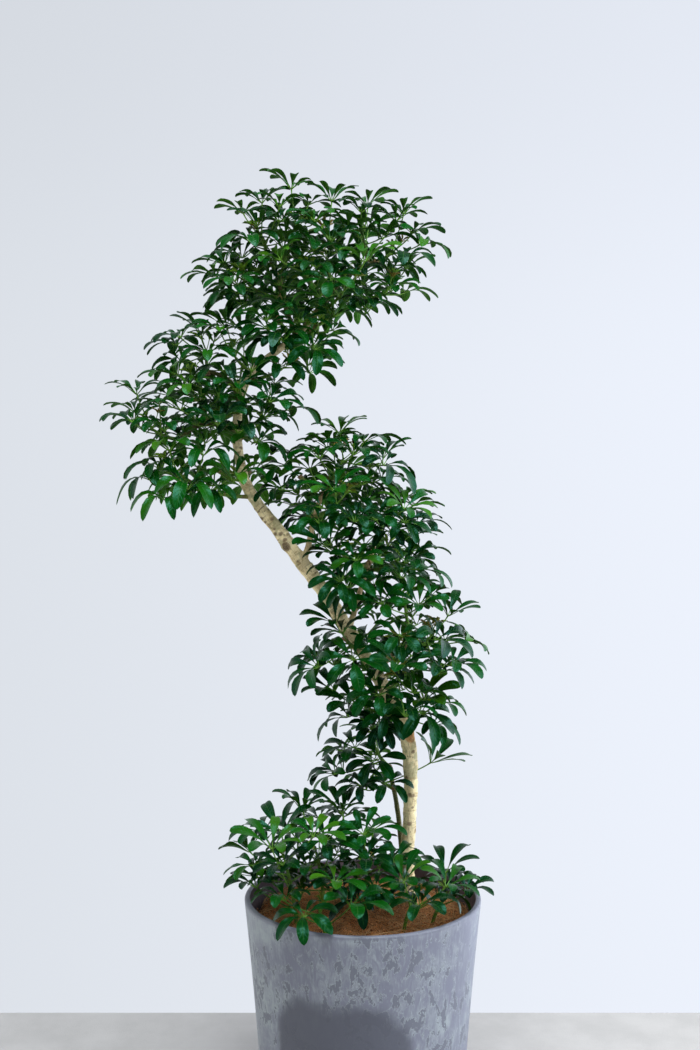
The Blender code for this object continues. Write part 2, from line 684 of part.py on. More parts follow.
def stem_point(points, from_tip):
    """The point of a stem that lies this far back from its tip."""
    left = from_tip
    for a, b in zip(reversed(points), reversed(points[:-1])):
        length = (a - b).length
        if left <= length:
            return a + (b - a) * left / length
        left -= length
    return points[0] + (points[1] - points[0]) * 0.3


def place_seen(root, hub, rises, room, draw, stem_name):
    """A leaf at a hub that the front view shows: turned, tilted and moved a little until it is clear
    and stands well in its mass."""
    best = None
    most = 0
    for attempt in range(PLACE_TRIES):
        loose = attempt / PLACE_TRIES
        moved = hub + Vector([draw.uniform(-1, 1) * shift * loose for shift in HUB_SHIFT])
        stalk = (moved - root).normalized()
        tilt = draw.uniform(-FACING_TILT, FACING_TILT) * (1 + loose)
        normal = leaf_normal(stalk, tilt, draw.uniform(0, FRONT_LEAN))
        solid = leaf_solid(root, moved, normal, LEAFLETS_SEEN, draw, rises, 1 - LEAF_SHRINK * loose)
        worth = share_in_masses(solid[0]) - loose * LOOSENESS_COST
        if worth <= most or normal.dot(stalk) < LEAST_FACING:
            continue
        if room.is_clear(*solid, normal * CLEAR_SHIFT, [stem_name]):
            most = worth
            best = (solid, moved)
        if most > GOOD_SHARE:
            break
    return best


def place_more(root, room, draw, stem_name):
    """A further leaf: of the clear places in the masses that the draws find, the one with most room
    round it."""
    best = None
    most = 0
    for _ in range(MORE_TRIES):
        turn = draw.uniform(0, 2 * math.pi)
        lift = draw.uniform(*STALK_LIFT)
        out = Vector((math.cos(turn), math.sin(turn), 0)) * math.cos(lift) + UP * math.sin(lift)
        hub = root + out * draw.uniform(*STALK_LENGTH)
        tilt = draw.uniform(-FACING_TILT, FACING_TILT)
        normal = leaf_normal(out, tilt, draw.uniform(-FRONT_LEAN, FRONT_LEAN) / 2)
        solid = leaf_solid(root, hub, normal, LEAFLETS_MORE, draw, LEAF_RISE)
        free = room.distance_to_hubs(hub) * share_in_masses(solid[0]) ** 3
        in_pot = hub.z < POT_HEIGHT and math.hypot(hub.x, hub.y) < pot_radius(POT_HEIGHT) + RIM_ROOM
        if free <= most or in_pot or normal.dot(out) < LEAST_FACING:
            continue
        if room.is_clear(*solid, normal * CLEAR_SHIFT, [stem_name]):
            most = free
            best = (solid, hub)
    return best


def grow_leaves(name, stem, seen, more, room):
    """The leaf solids of one shoot, from the growing tip down the stem, the highest hub first."""
    draw = random.Random(name)
    spacing = LEAFY_LENGTH / max(len(seen) + more, 2)
    solids = []
    for i, hub in enumerate(sorted(seen, key=lambda hub: -hub[2]) + [None] * more):
        root = stem_point(stem, TOP_LEAF_DEPTH + spacing * i)
        if hub:
            rises = LEAF_RISE if i else TOP_LEAF_RISE
            placed = place_seen(root, Vector(hub), rises, room, draw, name + "_stem")
        else:
            placed = place_more(root, room, draw, name + "_stem")
        if placed:
            solids.append(placed[0])
            room.add_leaf(*placed, name)
    return solids


def solid_of(obj):
    """Points in millimetres and faces of an object's mesh."""
    return [v.co / MM for v in obj.data.vertices], [tuple(p.vertices) for p in obj.data.polygons]


def make_base_stem(tip, ground):
    """The stem of a low plant, out of the soil and towards its tip."""
    foot = Vector((tip.x * BASE_LEAN, tip.y * BASE_LEAN, 0))
    surface = fibre_height(foot.x, foot.y)
    bend = foot.lerp(tip, BASE_BEND[0])
    bend.z = surface + (tip.z - surface) * BASE_BEND[1]
    points = [foot + UP * (surface - BASE_STEM_DEPTH), foot + UP * surface, bend, tip]
    radii = [BASE_STEM_ROOT_RADIUS, BASE_STEM_ROOT_RADIUS, STEM_ROOT_RADIUS, STEM_TIP_RADIUS]
    cut_stem_hole(ground, points, radii, STEM_SIDES)
    return points, *tube(points, radii, STEM_SIDES)


def make_shoot_stems(trunk, second, ground, room):
    """The stems of all shoots and low plants, before any leaf is placed."""
    wood_verts, wood_faces = solid_of(trunk)
    second_verts, second_faces = solid_of(second)
    first = len(wood_verts)
    second_faces = [tuple(i + first for i in face) for face in second_faces]
    wood = BVHTree.FromPolygons(wood_verts + second_verts, wood_faces + second_faces)
    wood_line = wood_points()
    stems = {}
    for name, (tip, _, _) in SHOOTS.items():
        tip = Vector(tip)
        for root in growth_points(tip, wood_line):
            wide = seated_stem(root, tip, wood, STEM_ROOM)
            if wide and room.is_clear(*wide[1:], Vector(), [trunk.name, second.name]):
                break
        stems[name] = seated_stem(root, tip, wood)
        room.add(*stems[name][1:], name + "_stem")
    for name, (tip, _, _) in BASE_PLANTS.items():
        stems[name] = make_base_stem(Vector(tip), ground)
        room.add(*stems[name][1:], name + "_stem")
    return stems


def make_shoots(stems, room):
    """Every leafy shoot and low plant, with its leaves fused to its stem."""
    green = material("leaf_green", LEAF_GREEN)
    for name, (_, seen, more) in {**SHOOTS, **BASE_PLANTS}.items():
        points, verts, faces = stems[name]
        leaves = grow_leaves(name, points, seen, more, room)
        shoot = add_object(name, verts, faces, green)
        parts = [add_object(f"{name}_leaf_{i}", *leaf) for i, leaf in enumerate(leaves)]
        join_by_union(shoot, parts)


def build():
    clear_scene()
    pot = make_pot()
    fibre = make_fibre()
    soil = make_soil()
    room = Room()
    room.add(*solid_of(pot), "pot")
    room.add(*solid_of(fibre), "fibre_mat")
    trunk = make_trunk([fibre, soil])
    second = make_second_stem([fibre, soil])
    room.add(*solid_of(trunk), "trunk")
    room.add(*solid_of(second), "second_stem")
    stems = make_shoot_stems(trunk, second, [fibre, soil], room)
    make_shoots(stems, room)


build()
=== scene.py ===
import math
import random

import bmesh
import bpy
import numpy as np
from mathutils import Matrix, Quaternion, Vector, noise
from mathutils.bvhtree import BVHTree
from mathutils.kdtree import KDTree


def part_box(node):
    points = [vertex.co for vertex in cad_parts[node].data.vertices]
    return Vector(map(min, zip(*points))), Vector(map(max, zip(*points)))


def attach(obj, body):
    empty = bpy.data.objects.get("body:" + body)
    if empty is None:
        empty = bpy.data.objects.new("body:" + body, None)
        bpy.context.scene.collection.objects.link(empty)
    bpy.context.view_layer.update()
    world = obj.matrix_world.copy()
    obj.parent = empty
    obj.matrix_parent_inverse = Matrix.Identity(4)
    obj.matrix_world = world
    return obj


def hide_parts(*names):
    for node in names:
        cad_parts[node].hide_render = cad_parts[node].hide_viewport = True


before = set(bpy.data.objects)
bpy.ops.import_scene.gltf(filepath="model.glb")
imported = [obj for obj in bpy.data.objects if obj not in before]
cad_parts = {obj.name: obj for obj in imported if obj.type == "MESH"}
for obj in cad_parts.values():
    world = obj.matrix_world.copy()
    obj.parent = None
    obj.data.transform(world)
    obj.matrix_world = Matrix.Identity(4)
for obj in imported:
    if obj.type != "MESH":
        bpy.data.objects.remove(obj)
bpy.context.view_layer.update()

# A compact dwarf umbrella tree with a zigzag trunk, standing with low plants of its kind in a tapered pot.
# Metres in the scene; the sizes below are in millimetres and turned into metres by MM. +Z is up and the
# viewer of the front stands on the -Y side.
MM = 0.001
bpy.context.scene.view_settings.view_transform = "Standard"

# The pot: one shell moulded from resin with stone powder, open at the top, with four drain holes. Pale and
# dark paste ran down the mould together, so the outside is streaked and blotched under a thin sheen.
POT_HEIGHT = 340
POT_WALL = 8.5
POT_FLOOR = 12
POT_SIDES = 168
POT_FOOT_RADIUS = 155
POT_FLARE = (22, 8)
FOOT_ROUND = 5
LIP_OUTER_ROUND = 3.4
LIP_INNER_ROUND = 2.8
LIP_INSET = 0.6
LIP_BAND = 1.2
WALL_RINGS = 24
WALL_STEP = 14
DRAIN_RADIUS = 8
DRAIN_CIRCLE = 85
UNDERSIDE_RINGS = (40, DRAIN_CIRCLE, 125)
DRAIN_COUNT = 4
DRAIN_SIDES = 40
RESIN_GREY = (0.165, 0.174, 0.22)
RESIN_PALE = (0.325, 0.37, 0.375)
RESIN_DARK = (0.112, 0.118, 0.152)
RESIN_DEEP = (0.078, 0.083, 0.106)
# The inside's dark brown-purple is as dark as the wall looks in the pot's shade: partly its own tone, partly
# painted shade; the pale one is its worn marks
RESIN_INSIDE_SHADED = (0.062, 0.045, 0.05)
RESIN_INSIDE_SHADED_PALE = (0.16, 0.13, 0.135)
# Smooth dark fields low on the wall: the direction they face in degrees, half their width in degrees, and
# the height of their upper edge
DARK_FIELDS = [(-27, 22, 239), (-4, 29, 236), (112, 33, 168), (-128, 29, 205), (176, 22, 120)]


class Wire:
    """An output of a finish's nodes. Arithmetic on it adds Math nodes to the same finish."""

    def __init__(self, tree, socket=None):
        self.tree = tree
        self.socket = socket

    def node(self, kind, settings=None, sockets=None, output=0):
        """A new node: its settings first, then the values or wires that go into its sockets."""
        made = self.tree.nodes.new("ShaderNode" + kind)
        for name, value in (settings or {}).items():
            setattr(made, name, value)
        for name, value in (sockets or {}).items():
            if isinstance(value, Wire):
                self.tree.links.new(value.socket, made.inputs[name])
            else:
                made.inputs[name].default_value = value
        return Wire(self.tree, made.outputs[output])

    def math(self, operation, *values):
        return self.node("Math", {"operation": operation}, dict(enumerate(values)))

    def fract(self):
        return self.math("FRACT", self)

    def __add__(self, other):
        return self.math("ADD", self, other)

    def __sub__(self, other):
        return self.math("SUBTRACT", self, other)

    def __rsub__(self, other):
        return self.math("SUBTRACT", other, self)

    def __mul__(self, other):
        return self.math("MULTIPLY", self, other)

    def __truediv__(self, other):
        return self.math("DIVIDE", self, other)

    def __pow__(self, other):
        return self.math("POWER", self, other)

    def __abs__(self):
        return self.math("ABSOLUTE", self)

    __radd__ = __add__
    __rmul__ = __mul__

    def rise(self, low, high):
        """0 below low and 1 above high, with a soft step between them."""
        edges = {"From Min": low, "From Max": high}
        return self.node("MapRange", {"interpolation_type": "SMOOTHSTEP"}, {"Value": self, **edges})

    def scaled(self, factors):
        return self.node("VectorMath", {"operation": "MULTIPLY"}, {0: self, 1: factors})

    def parts(self):
        split = self.node("SeparateXYZ", None, {0: self})
        return [Wire(self.tree, socket) for socket in split.socket.node.outputs]

    def place(self):
        """Where each point of the surface is, in metres."""
        return self.node("TexCoord", output="Object")

    def kept(self, name):
        """The vector that the piece keeps for each point under this name."""
        return self.node("Attribute", {"attribute_name": name}, output="Vector")

    def noise(self, scale, detail=3, roughness=0.55, distortion=0):
        values = {"Scale": scale, "Detail": detail, "Roughness": roughness, "Distortion": distortion}
        return self.node("TexNoise", None, {"Vector": self, **values})

    def cells(self, scale):
        return self.node("TexVoronoi", None, {"Vector": self, "Scale": scale})

    def paint(self, under, over):
        """The colour under where this mask is 0, and the colour over where it is 1."""
        colours = [value if isinstance(value, Wire) else (*value, 1) for value in (under, over)]
        return self.node("Mix", {"data_type": "RGBA"}, {0: self, 6: colours[0], 7: colours[1]}, output=2)


def new_finish(name, roughness=0.5, **fixed):
    """A material's wire to add nodes with, and its shader, with the sockets that are alike all over."""
    made = bpy.data.materials.new(name)
    made.use_nodes = True
    shader = made.node_tree.nodes["Principled BSDF"]
    shader.inputs["Roughness"].default_value = roughness
    for socket, value in fixed.items():
        shader.inputs[socket.replace("_", " ")].default_value = value
    return made, Wire(made.node_tree), shader


def connect(shader, start, height=None, depth=0.5, **wires):
    """Links wires to the shader's sockets; height goes in through a bump of that depth in millimetres."""
    if height is not None:
        sockets = {"Height": height, "Distance": depth * MM, "Strength": 1.0}
        wires["Normal"] = start.node("Bump", None, sockets)
    for socket, wire in wires.items():
        start.tree.links.new(wire.socket, shader.inputs[socket.replace("_", " ")])


def add_piece(name, points, faces, finishes, finish_of=None):
    """A smooth mesh piece from points in metres. finish_of gives each face's place in finishes."""
    mesh = bpy.data.meshes.new(name)
    mesh.from_pydata(points, [], faces)
    for finish in finishes:
        mesh.materials.append(finish)
    if finish_of is not None:
        mesh.polygons.foreach_set("material_index", np.asarray(finish_of, np.int32))
    mesh.shade_smooth()
    made = bpy.data.objects.new(name, mesh)
    bpy.context.scene.collection.objects.link(made)
    return made


def bake(piece):
    """Applies the piece's modifiers to its mesh."""
    graph = bpy.context.evaluated_depsgraph_get()
    piece.data = bpy.data.meshes.new_from_object(piece.evaluated_get(graph))
    piece.modifiers.clear()


def arc(centre, radius, start, end, steps):
    turns = [math.radians(start + (end - start) * i / steps) for i in range(steps + 1)]
    return [(centre[0] + radius * math.cos(t), centre[1] + radius * math.sin(t)) for t in turns]


def lathe(profile, sides):
    """Points and faces turned about Z from (radius, height) pairs that start and end on the axis."""
    points, rings, faces = [], [], []
    for radius, height in profile:
        count = sides if radius > 0 else 1
        rings.append(range(len(points), len(points) + count))
        for k in range(count):
            turn = 2 * math.pi * k / sides
            points.append((radius * MM * math.cos(turn), radius * MM * math.sin(turn), height * MM))
    for low, high in zip(rings, rings[1:]):
        for k in range(sides):
            corners = [(low, k), (low, k + 1), (high, k + 1), (high, k)]
            faces.append(list(dict.fromkeys(ring[i % len(ring)] for ring, i in corners)))
    return points, faces


def pot_radius(height):
    rise = height / POT_HEIGHT
    return POT_FOOT_RADIUS + POT_FLARE[0] * rise + POT_FLARE[1] * rise * rise


def make_outside_finish():
    made, start, shader = new_finish("stone_resin_outside", Specular_IOR_Level=0.42)
    place = start.place()
    streaks = place.scaled((1, 1, 0.4)).noise(95, 6, 0.66, 0.8)
    threads = place.scaled((1, 1, 0.1)).noise(480, 3, 0.55)
    broad = place.scaled((1, 1, 1.2)).noise(10, 4, 0.6, 0.4)
    wash = (streaks * 0.45 + threads * 0.2 + broad * 0.55).rise(0.5, 0.78)
    colour = (wash * 0.8).paint(RESIN_GREY, RESIN_PALE)
    islands = place.scaled((1, 1, 0.6)).noise(68, 8, 0.66, 0.3)
    drips = place.scaled((1, 1, 0.1)).noise(240, 3, 0.6)
    where = place.scaled((0.5, 0.5, 1)).noise(15, 2, 0.5).rise(0.4, 0.58) * 0.08 + islands * 0.9 + drips * 0.1
    patch = where.rise(0.6, 0.612)
    outline = where.rise(0.56, 0.6)
    colour = (outline * 0.6).paint(colour, RESIN_PALE)
    colour = (patch * 0.85).paint(colour, RESIN_DARK)
    across, deep, height = place.parts()
    girth = (across * across + deep * deep) ** 0.5
    wavy = place.noise(22, 3, 0.55) - 0.5
    field = None
    for facing, half_width, top in DARK_FIELDS:
        turn = math.radians(facing)
        edge = 1 - math.cos(math.radians(half_width))
        off = (1 - (across * math.sin(turn) - deep * math.cos(turn)) / girth) / edge
        inside = 1 - (off**1.5 + (height / (top * MM)) ** 5 + wavy * 0.7).rise(0.72, 1.3)
        field = inside if field is None else field.math("MAXIMUM", field, inside)
    colour = (field * 0.92).paint(colour, RESIN_DEEP)
    # The lip's top is painted darker: painted shade that tones down the light the lamps above throw on it
    colour = (height.rise(0.3335, 0.338) * 0.7).paint(colour, RESIN_DARK)
    grain = place.noise(900, 2, 0.6)
    gloss = 0.36 + streaks * 0.16 + grain * 0.08
    relief = wash * 0.25 - patch * 0.5 + grain * 0.22
    connect(shader, start, relief, 0.35, Base_Color=colour, Roughness=gloss)
    return made


# The inside wall: its own brownish tone, painted as dark as it looks in the pot's shade, which is painted
# shade
def make_shaded_inside_finish():
    made, start, shader = new_finish("stone_resin_inside_shaded", Specular_IOR_Level=0.3)
    place = start.place()
    worn = place.scaled((1, 1, 0.4)).noise(55, 5, 0.7).rise(0.52, 0.72)
    colour = (worn * 0.6).paint(RESIN_INSIDE_SHADED, RESIN_INSIDE_SHADED_PALE)
    grain = place.noise(700, 3, 0.6)
    connect(shader, start, grain, 0.4, Base_Color=colour, Roughness=0.55 + grain * 0.25)
    return made


lip = pot_radius(POT_HEIGHT) - LIP_INSET
wall_heights = [FOOT_ROUND + 3 + i * WALL_STEP for i in range(WALL_RINGS)]
pot_profile = [(0, 0)] + [(radius, 0) for radius in UNDERSIDE_RINGS]
pot_profile += arc((POT_FOOT_RADIUS - FOOT_ROUND, FOOT_ROUND), FOOT_ROUND, -90, 0, 6)
pot_profile += [(pot_radius(h), h) for h in wall_heights if h < POT_HEIGHT - LIP_OUTER_ROUND - 1]
pot_profile += arc((lip - LIP_OUTER_ROUND, POT_HEIGHT - LIP_OUTER_ROUND), LIP_OUTER_ROUND, 0, 90, 7)
inner_corner = (lip - POT_WALL + LIP_INNER_ROUND, POT_HEIGHT - LIP_INNER_ROUND)
pot_profile += arc(inner_corner, LIP_INNER_ROUND, 90, 180, 6)
inner_heights = [h for h in reversed(wall_heights) if POT_FLOOR + 4 < h < POT_HEIGHT - LIP_INNER_ROUND - 2]
pot_profile += [(pot_radius(h) - POT_WALL, h) for h in inner_heights]
pot_profile += [(pot_radius(POT_FLOOR) - POT_WALL, POT_FLOOR), (DRAIN_CIRCLE, POT_FLOOR), (0, POT_FLOOR)]
pot_points, pot_faces = lathe(pot_profile, POT_SIDES)


def is_inner(face):
    """Whether a face is on the inside, under the lip's upper band."""
    middle = sum((Vector(pot_points[i]) for i in face), Vector()) / len(face) / MM
    out = math.hypot(middle.x, middle.y)
    in_height = POT_FLOOR - 1 < middle.z < POT_HEIGHT - LIP_BAND
    return in_height and out < pot_radius(middle.z) - POT_WALL / 2


pot_finishes = [make_outside_finish(), make_shaded_inside_finish()]
pot = add_piece("pot_shell", pot_points, pot_faces, pot_finishes, [is_inner(face) for face in pot_faces])
for i in range(DRAIN_COUNT):
    turn = 2 * math.pi * (i + 0.5) / DRAIN_COUNT
    under, over = -POT_FLOOR, 2 * POT_FLOOR
    drill_profile = [(0, under), (DRAIN_RADIUS, under), (DRAIN_RADIUS, over), (0, over)]
    drill = add_piece("drill", *lathe(drill_profile, DRAIN_SIDES), [])
    drill.location = Vector((math.cos(turn), math.sin(turn), 0)) * DRAIN_CIRCLE * MM
    cut = pot.modifiers.new("drain", "BOOLEAN")
    cut.operation = "DIFFERENCE"
    cut.object = drill
    bpy.context.view_layer.update()
    bake(pot)
    bpy.data.objects.remove(drill)
pot.data.set_sharp_from_angle(angle=math.radians(50))
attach(pot, "root")
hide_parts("pot")

# The potting soil under the fibre: dark, crumbly peat. Only the drain holes and the mat's loose edge show
# it, so the frame's own solid stays and gets the look of crumbs.
SOIL_GAP_SHADE = (0.018, 0.011, 0.007)
SOIL_BROWN = (0.075, 0.042, 0.022)
soil_finish, start, shader = new_finish("soil_crumbs")
place = start.place()
crumbs = place.cells(260)
tone = place.noise(120, 4, 0.7)
# Darkest in the gaps between crumbs, where the bump is low: painted shade over the peat's own patchy brown
connect(
    shader, start, 1 - crumbs, 2.5,
    Base_Color=(tone * (1 - crumbs)).rise(0.2, 0.6).paint(SOIL_GAP_SHADE, SOIL_BROWN),
    Roughness=0.85 + tone * 0.12,
)
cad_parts["soil"].material_slots[0].material = soil_finish

# The mat of coconut fibre that covers the soil: brown husk fibres, felted into a lumpy sheet that swells
# round the stems, with loose strands that stand off it. It lies on the soil inside the lip.
MAT_TOP = 306
MAT_EDGE = 168.5
MAT_BOTTOM = 293
MAT_RINGS = 62
MAT_SIDES = 200
MAT_MOUND = 16
MAT_MOUND_AT = (-30, 10)
MAT_MOUND_RADIUS = 105
MAT_LUMP = 3.5
EDGE_FALL = 5
STRANDS = 3000
STRAND_STEPS = 6
STRAND_RADIUS = (0.22, 0.5)
STRAND_LENGTH = (22, 80)
STRAND_STAND = 9
STRAND_LIMIT = 0.985
UP = Vector((0, 0, 1))
COIR_HOLLOW_SHADE = (0.06, 0.02, 0.008)
COIR_BROWN = (0.78, 0.34, 0.12)
COIR_STRAW = (0.86, 0.58, 0.30)


def mat_height(x, y):
    """The top of the mat in millimetres: a low mound and lumps, as in the frame."""
    from_mound = math.dist((x, y), MAT_MOUND_AT) / MAT_MOUND_RADIUS
    mound = MAT_MOUND * max(0, 1 - from_mound * from_mound)
    lumps = math.sin(x / 11 + 1.3 * math.sin(y / 17)) * math.sin(y / 13 + 1.1 * math.sin(x / 19))
    return MAT_TOP + mound + MAT_LUMP * lumps


def rough_mat_height(x, y):
    """The same with the tufts of the real surface."""
    tufts = noise.noise(Vector((x / 9, y / 9, 3))) * 3.4 + noise.noise(Vector((x / 3.4, y / 3.4, 7))) * 1.8
    edge = max(0, math.hypot(x, y) / MAT_EDGE - 0.93) / 0.07
    return mat_height(x, y) + tufts - EDGE_FALL * edge * edge


def ring_faces(rings, sides):
    """Four-cornered faces between closed rings of points, each with that many sides."""
    faces = []
    for i in range(rings):
        for k in range(sides):
            a, b = i * sides + k, i * sides + (k + 1) % sides
            faces.append((a, b, b + sides, a + sides))
    return faces


def set_vectors(piece, name, values):
    """A vector for each point of the piece, which its finish reads by this name."""
    made = piece.data.attributes.new(name, "FLOAT_VECTOR", "POINT")
    made.data.foreach_set("vector", np.asarray(values, np.float32).ravel())


def bar(points, radii, sides, first_side=Vector((0.31, -0.9, 0.2))):
    """Points and faces of a closed round bar along a line, in the line's own unit."""
    verts = []
    side = first_side
    for i, point in enumerate(points):
        along = (points[min(i + 1, len(points) - 1)] - points[max(i - 1, 0)]).normalized()
        side = (side - along * side.dot(along)).normalized()
        other = along.cross(side)
        for k in range(sides):
            turn = 2 * math.pi * k / sides
            verts.append(point + (side * math.cos(turn) + other * math.sin(turn)) * radii[i])
    faces = ring_faces(len(points) - 1, sides)
    faces.append(tuple(reversed(range(sides))))
    faces.append(tuple(range(len(verts) - sides, len(verts))))
    return verts, faces


def join(points, faces, more_points, more_faces):
    """Adds a form's points and faces to the lists of a larger one."""
    first = len(points)
    points += more_points
    faces += [tuple(first + i for i in face) for face in more_faces]


def make_coir_finish():
    made, start, shader = new_finish("coconut_husk", Specular_IOR_Level=0.2)
    place = start.place()
    tint = start.kept("strand").parts()[0]
    felt = place.noise(420, 5, 0.75, 1.2)
    lie = place.scaled((1, 0.25, 1)).noise(700, 3, 0.7)
    shade = felt * 0.6 + lie * 0.4
    # The felt is painted near black in its hollows, which is painted shade, and paler towards straw on its
    # high parts
    colour = shade.rise(0.42, 0.56).paint(COIR_HOLLOW_SHADE, COIR_BROWN)
    colour = (tint * 0.8 + shade.rise(0.58, 0.76) * 0.5).rise(0.1, 1.1).paint(colour, COIR_STRAW)
    connect(shader, start, shade, 1.6, Base_Color=colour, Roughness=0.8 + felt * 0.15)
    return made


draw = random.Random("coir")
mat_points, mat_faces, mat_tints = [], [], []
for i in range(MAT_RINGS + 1):
    for k in range(MAT_SIDES):
        turn = 2 * math.pi * k / MAT_SIDES
        out = MAT_EDGE * max(i / MAT_RINGS, 0.002)
        x, y = out * math.cos(turn), out * math.sin(turn)
        mat_points.append(Vector((x, y, rough_mat_height(x, y))))
for k in range(MAT_SIDES):
    rim = mat_points[MAT_RINGS * MAT_SIDES + k]
    mat_points.append(Vector((rim.x, rim.y, MAT_BOTTOM)))
mat_faces += [(a, d, c, b) for a, b, c, d in ring_faces(MAT_RINGS + 1, MAT_SIDES)]
mat_faces.append(tuple(range(MAT_SIDES)))
mat_faces.append(tuple(reversed(range(len(mat_points) - MAT_SIDES, len(mat_points)))))
mat_tints += [(draw.random() * 0.1, 0, 0) for _ in mat_points]
for _ in range(STRANDS):
    out = MAT_EDGE * math.sqrt(draw.random())
    turn = draw.uniform(0, 2 * math.pi)
    heading = draw.uniform(0, 2 * math.pi)
    length = draw.uniform(*STRAND_LENGTH)
    curl = draw.uniform(-1.6, 1.6)
    stand = draw.uniform(0.2, 1) ** 3 * STRAND_STAND
    x, y = out * math.cos(turn), out * math.sin(turn)
    line = []
    for i in range(STRAND_STEPS + 1):
        share = i / STRAND_STEPS
        lift = 0.2 + stand * math.sin(math.pi * share * draw.uniform(0.8, 1.1)) + draw.uniform(-0.4, 0.6)
        far = math.hypot(x, y) / MAT_EDGE
        if far > STRAND_LIMIT:
            x, y = x / far * STRAND_LIMIT, y / far * STRAND_LIMIT
        line.append(Vector((x, y, mat_height(x, y) + lift)))
        heading += curl / STRAND_STEPS + draw.uniform(-0.25, 0.25)
        x += math.cos(heading) * length / STRAND_STEPS
        y += math.sin(heading) * length / STRAND_STEPS
    thick = draw.uniform(*STRAND_RADIUS)
    radii = [thick * (1 - 0.5 * abs(2 * i / STRAND_STEPS - 1)) for i in range(STRAND_STEPS + 1)]
    verts, faces = bar(line, radii, 3, UP)
    join(mat_points, mat_faces, verts, faces)
    mat_tints += [(draw.random(), 0, 0)] * len(verts)
mat = add_piece("coconut_mat", [p * MM for p in mat_points], mat_faces, [make_coir_finish()])
set_vectors(mat, "strand", mat_tints)
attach(mat, "root")
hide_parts("fibre_mat")

# The trunk with its boughs: one grown piece of wood in pale, smooth bark, with ring scars where leaves
# fell, knots, and two pruned stubs at its first bend. It stands in the soil; the shoots grow from it.
TRUNK = [
    (76, 35, 285, 14.0), (74, 35, 320, 13.2), (72, 35, 352, 12.0), (71, 35, 395, 11.2), (76, 31, 455, 10.8),
    (77, 30, 517, 11.2), (74, 26, 568, 11.8), (64, 22, 609, 12.6), (39, 14, 651, 11.0), (12, 8, 700, 10.8),
    (-23, 0, 753, 11.0), (-64, -5, 818, 11.0), (-98, -8, 863, 11.4), (-130, -8, 907, 10.4),
    (-162, -5, 948, 9.2), (-184, 0, 985, 8.6), (-195, 5, 1031, 7.8), (-198, 8, 1076, 7.4),
    (-191, 5, 1122, 6.6), (-172, 0, 1161, 6.0), (-140, 0, 1187, 5.4), (-102, 5, 1218, 5.0),
    (-70, 8, 1257, 4.6), (-50, 8, 1292, 4.0),
]
BOUGHS = [
    [(-60, 8, 1268, 4.2), (-45, 6, 1290, 3.8), (-12, 0, 1318, 3.4), (22, -8, 1330, 3.0)],
    [(-104, 5, 1216, 4.4), (-114, 8, 1240, 3.9), (-126, 10, 1275, 3.4), (-134, 8, 1312, 3.0)],
    [(-197, 6, 1052, 5.0), (-218, -6, 1072, 4.4), (-252, -18, 1074, 3.8), (-284, -25, 1050, 3.2)],
    [(-193, 5, 1112, 4.6), (-203, 5, 1136, 4.1), (-220, 5, 1152, 3.7), (-244, 5, 1160, 3.2)],
    [(-93, -8, 856, 5.4), (-84, -10, 890, 4.7), (-72, -14, 940, 4.0), (-60, -16, 974, 3.4)],
    [(-22, 0, 752, 5.2), (-12, 8, 786, 4.5), (4, 12, 840, 3.8), (20, 10, 892, 3.2)],
    [(22, 10, 684, 5.0), (44, -2, 712, 4.2), (74, -10, 728, 3.4)],
]
# Each stub's middle and radius, and 1 where the cut is fresh or 0 where it has healed to a dark scar
STUBS = [
    ((75, 13.5, 596), 6.6, 1), ((77, 14.5, 583), 5.6, 1), ((-120, -19, 884), 4.6, 0),
    ((-176, -8, 1000), 3.8, 0),
]
FRONT = Vector((0, -1, 0))
BARK_SIDES = 28
BARK_STEP = 4
BARK_VOXEL = 1.35
BARK_LUMPS = [(30, 1.5), (10, 0.9), (4, 0.3)]
RING_SPACING = (7, 19)
KNOTS = 120
BARK_PALE = (0.94, 0.80, 0.47)
BARK_TAN = (0.46, 0.335, 0.155)
BARK_BROWN = (0.17, 0.105, 0.06)
BARK_DARK = (0.06, 0.035, 0.022)
BARK_YOUNG = (0.33, 0.21, 0.10)
BARK_MOSS = (0.28, 0.29, 0.15)
BARK_GREEN_SHADED = (0.035, 0.06, 0.012)
BARK_CUT = (0.60, 0.27, 0.08)


def between(four, t):
    """The row at t on a smooth curve from the second to the third of four rows."""
    p0, p1, p2, p3 = (np.array(p, float) for p in four)
    bend = 2 * p0 - 5 * p1 + 4 * p2 - p3
    swing = 3 * p1 - p0 - 3 * p2 + p3
    return 0.5 * (2 * p1 + (p2 - p0) * t + bend * t**2 + swing * t**3)


def smooth_line(rows, step):
    """Rows of a position and a radius, evenly spread on a smooth curve through the given ones."""
    rows = [rows[0], *rows, rows[-1]]
    fine = [between(rows[i - 1 : i + 3], k / 12) for i in range(1, len(rows) - 2) for k in range(12)]
    fine = np.array([*fine, rows[-1]])
    along = np.concatenate([[0], np.cumsum(np.linalg.norm(np.diff(fine[:, :3], axis=0), axis=1))])
    wanted = np.linspace(0, along[-1], max(2, round(along[-1] / step) + 1))
    return np.stack([np.interp(wanted, along, fine[:, c]) for c in range(4)], 1)


def straighten(points, lines):
    """For each point, the nearest line's girth and the point's place as if that line stood upright."""
    samples = []
    for line in lines:
        centres = [Vector(row[:3]) for row in line]
        side = FRONT
        far = 0
        for i, centre in enumerate(centres):
            along = (centres[min(i + 1, len(line) - 1)] - centres[max(i - 1, 0)]).normalized()
            side = (side - along * side.dot(along)).normalized()
            far += (centre - centres[i - 1]).length if i else 0
            samples.append((centre, along, side, along.cross(side), far, line[i][3]))
        far += 300
    tree = KDTree(len(samples))
    for i, sample in enumerate(samples):
        tree.insert(sample[0], i)
    tree.balance()
    upright, girths = [], []
    for point in points:
        centre, along, side, other, far, girth = samples[tree.find(point)[1]]
        off = point - centre
        upright.append((off.dot(side), off.dot(other), far + off.dot(along)))
        girths.append(girth)
    return np.array(upright), np.array(girths)


